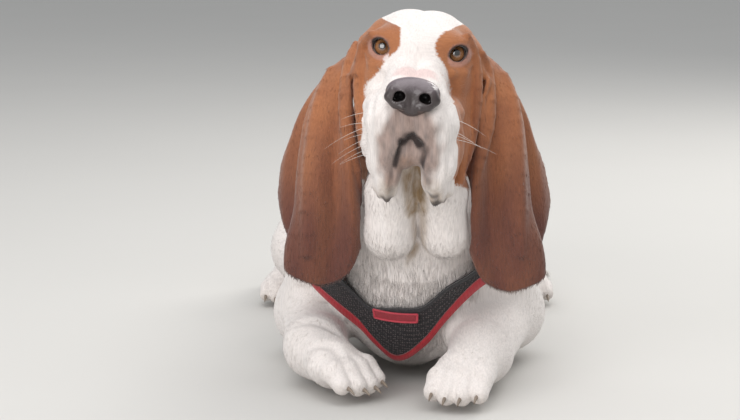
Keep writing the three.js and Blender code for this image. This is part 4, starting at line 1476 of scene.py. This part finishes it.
# Harness
harnessed = melt(60, trunk, *[upper_arm(leg) for leg in FORELEGS.values()])
NECKLINE = [
    (-16, -59, 92),
    (-42, -48, 91),
    (-56, -42, 104),
    (-66, -34, 118),
    (-80, -8, 152),
    (-78, 30, 200),
    (-48, 68, 242),
    (0, 84, 268),
    (48, 68, 242),
    (78, 30, 200),
    (78, -8, 158),
    (58, -48, 128),
    (34, -62, 114),
    (10, -61, 94),
]
VEST_EDGE = [
    (-16, -30, 32),
    (-36, -33, 52),
    (-52, -31, 72),
    (-72, -14, 92),
    (-94, 2, 116),
    (-104, 36, 180),
    (-60, 98, 246),
    (0, 112, 270),
    (60, 98, 246),
    (102, 36, 182),
    (86, -10, 140),
    (62, -40, 116),
    (36, -50, 86),
    (12, -44, 54),
]
TRIM_WIDTH = 7.5
GIRTH_Y, GIRTH_WIDTH = 196, 26
BACK_STRAP = {"half_width": 16, "start": 116}
LABEL = {"sides": (-42, 5), "heights": (89, 78)}
STRAP_ROOM = STRAP_THICKNESS / 2 + 2.4
ABOVE_BACK = BACK_HEIGHT + 4.0
VEST_STEPS = 150


def laid(points, room):
    """Points of the harness, brought to a distance from the body."""
    points = drawn_to(harnessed, points, room, 6, 12)
    points[:, 2] = np.maximum(points[:, 2], 1.2)
    return points


def laid_rows(rows, room):
    return np.array([laid(row, room) for row in rows])


def sheet_of(name, grid, thickness, closed=False, bulge=0.0):
    """A strap through rows of points, its outer face swelling towards the middle."""
    rows, columns = grid.shape[:2]
    flat = grid.reshape(-1, 3)
    out = unit(slope_at(harnessed, flat.astype(np.float32)))
    across = np.repeat(np.linspace(-1, 1, rows), columns)
    top = flat + out * (thickness / 2 + bulge * (1 - across**2))[:, None]
    bottom = flat - out * thickness / 2
    faces = grid_faces(rows, columns, closed)
    count = rows * columns
    under = [tuple(count + n for n in reversed(face)) for face in faces]
    rim = []
    for i in range(columns if closed else columns - 1):
        n = (i + 1) % columns
        rim.append((n, i, count + i, count + n))
        last = (rows - 1) * columns
        rim.append((last + i, last + n, count + last + n, count + last + i))
    if not closed:
        for j in range(rows - 1):
            a, b = j * columns, (j + 1) * columns
            rim.append((a, b, count + b, count + a))
            a, b = a + columns - 1, b + columns - 1
            rim.append((b, a, count + a, count + b))
    strap = mesh_object(name, in_metres(np.vstack([top, bottom])), faces + under + rim)
    place = np.zeros((count * 2, 2), np.float32)
    widths = length_of(grid[-1] - grid[0]).mean() / 1000
    steps = np.linalg.norm(np.diff(grid[rows // 2], axis=0, append=grid[rows // 2][:1]), axis=1)
    lengths = np.concatenate([[0], np.cumsum(steps)[:-1]]) / 1000
    place[:, 0] = np.tile(np.tile(lengths, rows), 2)
    place[:, 1] = np.tile(np.repeat(np.linspace(0, widths, rows), columns), 2)
    put_uv(strap, "weave", place)
    return strap


def mesh_fabric():
    """Black knitted air mesh: rows of small oval holes with greyer depths."""
    paint = Paint("mesh_fabric")
    inputs = {"Vector": paint.place(), "Scale": 400, "Randomness": 0.35}
    cells = paint.node("TexVoronoi", inputs).outputs["Distance"]
    hole = paint.times(paint.reckon("SUBTRACT", 0.42, cells), 5.0, clamp=True)
    paint.bump(hole, 0.8, 0.0012, invert=True)
    colour = paint.mix(hole, (0.014, 0.012, 0.014), (0.10, 0.075, 0.075))
    return paint.done(colour, roughness=0.8, sheen=0.15)


def tape_material(name, colour, ribs=70.0):
    """Woven tape with ribs across it."""
    paint = Paint(name)
    weave = paint.node("UVMap", uv_map="weave").outputs[0]
    wave = paint.node("TexWave", {"Vector": weave, "Scale": ribs, "Distortion": 0.6})
    cloud = paint.noise((260, 260, 260), 3.0)
    darker = tuple(c * 0.6 for c in colour)
    paint.bump(wave.outputs["Fac"], 0.4, 0.0005)
    return paint.done(paint.mix(cloud, darker, colour), roughness=0.62, sheen=0.2)


def loop_points(loop, steps):
    points = [Vector(p) for p in loop]
    return np.array([curve_at(points, i / steps, True) for i in range(steps)], np.float32)


def make_harness():
    inner, outer = loop_points(NECKLINE, VEST_STEPS), loop_points(VEST_EDGE, VEST_STEPS)
    out = unit(outer - inner)
    vest = laid_rows([inner + (outer - inner) * s for s in np.linspace(0, 1, 9)], STRAP_ROOM)
    trim = laid_rows([outer + out * r for r in np.linspace(-4.5, TRIM_WIDTH, 9)], STRAP_ROOM + 0.6)
    piping = laid_rows([inner + out * r for r in (-1.5, 0, 1.5, 3.0)], STRAP_ROOM + 0.4)
    angles = np.radians(np.linspace(-40, 220, 121))
    girth_start, girth_end = GIRTH_Y - GIRTH_WIDTH / 2, GIRTH_Y + GIRTH_WIDTH / 2
    girth_ys = np.linspace(girth_start, girth_end, 7)
    girth = [line_of(118 * np.cos(angles), y, 120 + 142 * np.sin(angles)) for y in girth_ys]
    back_xs = np.linspace(-BACK_STRAP["half_width"], BACK_STRAP["half_width"], 7)
    back_ys = np.linspace(BACK_STRAP["start"], girth_start - 1, 24)
    back = [line_of(x, back_ys, ABOVE_BACK) for x in back_xs]
    label_xs = np.linspace(*LABEL["sides"], 30)
    label = [line_of(label_xs, -58.0, z) for z in np.linspace(*LABEL["heights"], 9)]
    label = laid_rows(label, STRAP_ROOM + STRAP_THICKNESS)
    fabric, red = mesh_fabric(), tape_material("red_binding", (0.50, 0.022, 0.035))
    black = tape_material("black_webbing", (0.030, 0.028, 0.032))
    cloth = sheet_of("harness_vest_cloth", vest, STRAP_THICKNESS, True)
    finished(cloth, fabric, "mesh_fabric", "harness_vest")
    tape = sheet_of("harness_edge_tape", trim, STRAP_THICKNESS, True, 0.9)
    finished(tape, red, "red_binding", "harness_trim")
    cord = sheet_of("harness_neck_piping", piping, STRAP_THICKNESS, True, 0.8)
    finished(cord, black, "mesh_fabric")
    strap = sheet_of("harness_girth_strap", laid_rows(girth, STRAP_ROOM)[::-1], STRAP_THICKNESS, False, 0.5)
    finished(strap, black, "mesh_fabric", "harness_girth")
    strap = sheet_of("harness_back_strap", laid_rows(back, STRAP_ROOM), STRAP_THICKNESS, False, 0.5)
    finished(strap, fabric, "mesh_fabric", "harness_back")
    patch_red = tape_material("label_cloth", (0.36, 0.03, 0.045))
    patch_sheet = sheet_of("harness_label_patch", label, 1.8, False, 0.3)
    finished(patch_sheet, patch_red, "red_binding", "harness_label")
    border = np.concatenate([label[0], label[:, -1], label[-1, ::-1], label[::-1, 0]])
    tube = tube_of("harness_label_border", border, 1.15, harnessed)
    finished(tube, tape_material("label_border", (0.62, 0.05, 0.08)), "red_binding")


def tube_of(name, path, radius, lift=None):
    """A closed cord of small section through the points of a path."""
    if lift is not None:
        path = path + unit(slope_at(lift, path.astype(np.float32))) * 1.1
    count, around = len(path), 8
    points = []
    for i in range(count):
        ahead = Vector(path[(i + 1) % count] - path[i - 1]).normalized()
        side = ahead.orthogonal().normalized()
        if abs(ahead.z) < 0.95:
            side = ahead.cross(Vector((0, 0, 1))).normalized()
        up = ahead.cross(side)
        for a in turns(around):
            points.append(Vector(path[i]) + (side * math.cos(a) + up * math.sin(a)) * radius)
    faces = []
    for i in range(count):
        for j in range(around):
            n, m = (i + 1) % count, (j + 1) % around
            faces.append((i * around + j, i * around + m, n * around + m, n * around + j))
    return mesh_object(name, in_metres(points), faces)


make_harness()


BUCKLE_SEAT = (116.0, 148.0)  # out to the side, and up
BUCKLE_LENGTH, BUCKLE_WIDTH, BUCKLE_THICKNESS = 38, 25, 8.4
RING_Y = 152.0
RING_RADIUS, RING_WIRE = 12, 1.8


def buckle_of(side, sign):
    """A side-release buckle with a waist, along the girth strap."""
    seat = np.array([[sign * BUCKLE_SEAT[0], GIRTH_Y, BUCKLE_SEAT[1]]], np.float32)
    spot = laid(seat, STRAP_ROOM + STRAP_THICKNESS / 2 + BUCKLE_THICKNESS / 2)[0]
    normal = Vector(slope_at(harnessed, spot[None])[0]).normalized()
    along = (Vector((0, 0, 1)) - normal * normal.z).normalized()
    across = along.cross(normal)
    rows, around = 17, 20
    points = []
    for j in range(rows):
        t = -1 + 2 * j / (rows - 1)
        waist = 2.6 * math.exp(-((t - 0.15) / 0.22) ** 2)
        half = BUCKLE_WIDTH / 2 - waist - 1.2 * abs(t) ** 6
        thick = BUCKLE_THICKNESS / 2 - 1.6 * abs(t) ** 4
        for a in turns(around):
            c, s = math.cos(a), math.sin(a)
            u = math.copysign(abs(c) ** 0.45, c) * half
            v = math.copysign(abs(s) ** 0.6, s) * thick
            points.append(Vector(spot) + across * u + along * t * BUCKLE_LENGTH / 2 + normal * v)
    faces = grid_faces(rows, around, True)
    faces += [tuple(reversed(face)) for face in cap_of(0, around)]
    faces += cap_of((rows - 1) * around, around)
    return mesh_object("buckle_clip_" + side, in_metres(points), faces)


def make_fittings():
    """The two buckles, and the ring on the back."""
    plastic = plain_material("black_plastic", (0.022, 0.022, 0.024), 0.42, grain=900, depth=0.0001)
    steel = plain_material("steel", (0.56, 0.56, 0.57), 0.28, 1.0, grain=300, depth=0.00005, tint=0.1)
    for side, sign in SIDES.items():
        finished(buckle_of(side, sign), plastic, "black_plastic", "buckle_" + side)
    seat = np.array([[0, RING_Y, ABOVE_BACK]], np.float32)
    x, y, z = laid(seat, STRAP_ROOM + STRAP_THICKNESS / 2 + 2.1)[0]
    ring = [(x + RING_RADIUS * math.cos(a), y + RING_RADIUS * math.sin(a), z) for a in turns(48)]
    finished(tube_of("lead_ring", np.array(ring), RING_WIRE), steel, "steel", "harness_ring")


make_fittings()


# Tufts: thin tapered blades that lie along the coat
ATLAS_BOX = ((-190, -240, 0), (195, 670, 415))


def unwrap(points, normals, region):
    """Places on an atlas with one box view of each side for each region of the body."""
    low, high = [np.array(corner) for corner in ATLAS_BOX]
    share = (points - low) / (high - low)
    axis = np.abs(normals).argmax(axis=1)
    sign = np.take_along_axis(normals, axis[:, None], 1)[:, 0] > 0
    first = np.where(axis == 0, share[:, 1], share[:, 0])
    second = np.where(axis == 2, share[:, 1], share[:, 2])
    column = axis * 2 + sign
    u = (column + 0.04 + 0.92 * first) / 6
    v = (region + 0.04 + 0.92 * second) / 4
    return np.stack([u, v], axis=1)


REGIONS = ("head", "ears", "trunk", "legs")
TUFT_SIZE = {"head": (4.0, 0.36), "ears": (6.0, 0.42), "trunk": (9.5, 0.55), "legs": (7.0, 0.5)}
TUFT_COUNT = {"head": 18000, "ears": 38000, "trunk": 42000, "legs": 21000}
PIECE_TUFTS = 21500  # the most in one piece
PATCH = 0.003  # the side of a tuft's patch of the atlas
BLADE_POINTS = 7


def region_of(points, ear):
    q = in_head(points)
    head_part = (points[:, 2] > 205) & (q[:, 1] < 70) & (q[:, 2] > -150) & (solid_head(points) < 3)
    leg_part = legs(points) < 4
    region = np.where(head_part, 0, np.where(leg_part, 3, 2))
    return np.where(ear, 1, region)


def make_tufts():
    skin.data.calc_loop_triangles()
    corners = read(skin.data.loop_triangles, "vertices", 3, np.int32)
    a, b, c = [skin_points[corners[:, n]] for n in range(3)]
    areas = length_of(np.cross(b - a, c - a)) / 2
    middles = (a + b + c) / 3
    ear = on_ear(middles)
    regions = region_of(middles, ear)
    q = in_head(middles)
    bald = np.zeros(len(middles), bool)
    for sign in (1, -1):
        bald |= length_of(from_eye(q, sign)) < 15.5
    bald |= (length_of(q - np.float32([0, -112, -42])) < 30) & (q[:, 1] < -92)
    bald |= middles[:, 2] < 2.5
    rng = np.random.default_rng(7)

    def mixed(values, picked, shares):
        """Values of the skin's points, at places in the triangles picked."""
        return (values[corners[picked]] * shares).sum(axis=1)

    for number, name in enumerate(REGIONS):
        chosen = np.nonzero((regions == number) & ~bald)[0]
        weight = areas[chosen] * density_of(middles[chosen], name)
        left = TUFT_COUNT[name] // 1
        part = 1
        while left > 0:
            count = min(left, PIECE_TUFTS)
            picked = chosen[rng.choice(len(chosen), count, p=weight / weight.sum())]
            r1, r2 = np.sqrt(rng.random((count, 1))), rng.random((count, 1))
            shares = np.concatenate([1 - r1, r1 * (1 - r2), r1 * r2], axis=1)[:, :, None]
            roots = mixed(skin_points, picked, shares).astype(np.float32)
            normals = unit(mixed(skin_normals, picked, shares).astype(np.float32))
            marks = {key: mixed(values, picked, shares) for key, values in skin_marks.items()}
            build_tufts(f"{name}_{part}", name, number, roots, normals, marks, rng)
            left -= count
            part += 1


# The height of the harness's top edge at places across the chest
OVERHANG_EDGE = ([-80, -56, -42, -16, 10, 34, 58, 78], [152, 104, 91, 92, 94, 114, 128, 158])


def overhang(p):
    """The hair of the chest that hangs over the top edge of the harness."""
    edge = np.array(NECKLINE)
    front = edge[edge[:, 2] < 140]
    d = np.full(len(p), 99.0)
    for i in range(len(front) - 1):
        d = np.minimum(d, limb(front[i], 0, front[i + 1], 0)(p))
    return (d < 15) & (p[:, 2] > np.interp(p[:, 0], *OVERHANG_EDGE)) & (p[:, 1] < 10)


def density_of(p, name):
    if name == "trunk":
        chest = smooth_step(-p[:, 1], -60, 0) * smooth_step(-p[:, 2], -210, -120)
        under = smooth_step(-p[:, 2], -60, -20)
        return 0.5 + 1.2 * chest + 1.0 * under + 5.0 * overhang(p)
    if name == "ears":
        return 0.6 + 0.9 * smooth_step(-p[:, 2], -250, -140)
    return np.ones(len(p))


def build_tufts(piece, name, number, roots, normals, marks, rng):
    count = len(roots)
    length, width = TUFT_SIZE[name]
    lie = along_surface(marks["lie"], normals)
    side = np.cross(normals, lie)
    lengths = length * rng.uniform(0.6, 1.25, count)
    if name == "trunk":
        chest = smooth_step(-roots[:, 1], -40, 20) * smooth_step(-roots[:, 2], -190, -110)
        lengths = lengths * (1 + 0.7 * chest)
    lift = rng.uniform(0.03, 0.13, count)
    if name == "trunk":
        over = overhang(roots)
        lengths = np.where(over > 0, 15 + 9 * rng.random(count), lengths)
        lift = np.where(over > 0, 0.30, lift)
    sway = rng.normal(0, 0.14, count)
    way = lie + side * sway[:, None]
    rows = []
    for t, thin in ((0.0, 1.0), (0.5, 0.75), (1.0, 0.0)):
        height = -0.4 + lengths * lift * t * (1.25 - 0.45 * t)
        middle = roots + way * (lengths * t)[:, None] + normals * height[:, None]
        half = width * thin / 2
        if t == 1.0:
            rows.append(middle[:, None])
            continue
        rows.append(
            np.stack([middle - side * half, middle + side * half, middle + normals * half * 0.9], axis=1)
        )
    points = np.concatenate(rows, axis=1)
    points[..., 2] = np.maximum(points[..., 2], 0.3)
    base = np.arange(count)[:, None, None] * BLADE_POINTS
    quads = [(0, 2, 5, 3), (2, 1, 4, 5), (1, 0, 3, 4)]
    tips = [(3, 5, 6), (5, 4, 6), (4, 3, 6)]
    triangles = [(a, b, c) for a, b, c, d in quads] + [(a, c, d) for a, b, c, d in quads] + tips
    faces = (base + np.array(triangles)[None]).reshape(-1, 3)
    tufts = mesh_object("coat_" + piece, in_metres(points.reshape(-1, 3)), faces)
    put_marks(tufts, {key: np.repeat(values, BLADE_POINTS, axis=0) for key, values in marks.items()})
    at = unwrap(roots, normals, number)
    corner_place = np.array([(0, 0), (1, 0), (0.5, 0), (0.1, 0.5), (0.9, 0.5), (0.5, 0.5), (0.5, 1)])
    place = (at[:, None] + (corner_place[None] - 0.5) * PATCH).reshape(-1, 2).astype(np.float32)
    put_uv(tufts, "OFBake", place)
    return finished(tufts, coat_paint, "red_coat" if name == "ears" else "white_coat")


make_tufts()


# Whiskers
WHISKER_RADIUS = 0.26
WHISKERS = {1: 4, -1: 8}  # more of them show on the hound's right


def make_whiskers():
    rng = np.random.default_rng(5)
    points, faces = [], []
    rows, around = 9, 5
    tree = BVHTree.FromPolygons(
        [Vector(p) for p in skin_points.tolist()], [tuple(f.vertices) for f in skin.data.polygons]
    )
    for sign, number in WHISKERS.items():
        for n in range(number):
            spot = hung(sign, (34 + rng.uniform(-4, 8), -86 + rng.uniform(-8, 14), -64 - 5.5 * n))
            hit = tree.find_nearest(HEAD_PLACE @ Vector(spot))
            out = HEAD_PLACE.to_3x3() @ Vector((sign * 1.0, -0.25, -0.25 + rng.uniform(-0.3, 0.25)))
            out.normalize()
            length = rng.uniform(24, 46)
            rings = []
            for j in range(rows):
                t = j / (rows - 1)
                middle = hit[0] + out * length * t - Vector((0, 0, 0.18 * length * t * t))
                radius = WHISKER_RADIUS * (1 - 0.8 * t)
                rings.append(
                    [middle + Vector((0, math.cos(a), math.sin(a))) * radius for a in turns(around)]
                )
            add_tube(points, faces, rings)
    whiskers = mesh_object("whiskers", in_metres(points), faces)
    paint = plain_material("whisker", (0.75, 0.70, 0.66), 0.4)
    return finished(whiskers, paint, "white_coat")


make_whiskers()

# Floor, light and camera
FLOOR_REACH = 30  # metres
corners = [(x * FLOOR_REACH, y * FLOOR_REACH, 0) for x, y in ((-1, -1), (1, -1), (1, 1), (-1, 1))]
floor = mesh_object("floor", corners, [(0, 1, 2, 3)])
floor_paint = plain_material("pale_floor", (0.62, 0.61, 0.59), 0.9, grain=3.0, depth=0.0001, tint=0.03)
floor.data.materials.append(floor_paint)


def area_light(name, place, target, size, power, colour=(1, 1, 1)):
    lamp = bpy.data.lights.new(name, "AREA")
    lamp.shape = "RECTANGLE"
    lamp.size, lamp.size_y = size
    lamp.energy = power
    lamp.color = colour
    thing = bpy.data.objects.new(name, lamp)
    thing.location = place
    thing.rotation_euler = (Vector(target) - Vector(place)).to_track_quat("-Z", "Y").to_euler()
    bpy.context.scene.collection.objects.link(thing)


area_light("sky", (0.1, -0.5, 2.6), (0, 0, 0.2), (3.2, 3.2), 52, (1.0, 0.99, 0.97))
area_light("window", (-1.3, -2.6, 1.2), (0, -0.25, 0.2), (2.2, 1.8), 44, (1.0, 0.98, 0.97))
area_light("rim", (1.4, 1.6, 1.7), (0, 0, 0.3), (1.2, 1.2), 26, (1.0, 0.97, 0.93))
world = bpy.data.worlds.new("studio")
world.use_nodes = True
background = world.node_tree.nodes["Background"]
background.inputs["Color"].default_value = (0.80, 0.82, 0.84, 1)
background.inputs["Strength"].default_value = 0.6
bpy.context.scene.world = world
bpy.context.scene.view_settings.view_transform = "Standard"

# The camera looks as the photograph does. Its frame is 740 by 420 pixels.
FRAME_WIDTH = 740
EYE_PIXEL = (49.5, 159.5)  # the point between the eyes, right of and above the middle of the frame
PIXELS_PER_METRE = 970
CAMERA_HEIGHT = math.radians(9)
CAMERA_DISTANCE = 2.6
SENSOR_WIDTH = 36
look = Vector((0, math.cos(CAMERA_HEIGHT), -math.sin(CAMERA_HEIGHT)))
upward = Vector((0, math.sin(CAMERA_HEIGHT), math.cos(CAMERA_HEIGHT)))
eyes = Vector(EYE_PLACE) / 1000 + MOVE
aim = eyes - Vector((EYE_PIXEL[0] / PIXELS_PER_METRE, 0, 0)) - upward * EYE_PIXEL[1] / PIXELS_PER_METRE
camera_data = bpy.data.cameras.new("camera")
camera_data.sensor_width = SENSOR_WIDTH
camera_data.lens = SENSOR_WIDTH * CAMERA_DISTANCE * PIXELS_PER_METRE / FRAME_WIDTH
camera_data.clip_end = 50
camera = bpy.data.objects.new("camera", camera_data)
camera.location = aim - look * CAMERA_DISTANCE
camera.rotation_euler = look.to_track_quat("-Z", "Y").to_euler()
bpy.context.scene.collection.objects.link(camera)
bpy.context.scene.camera = camera
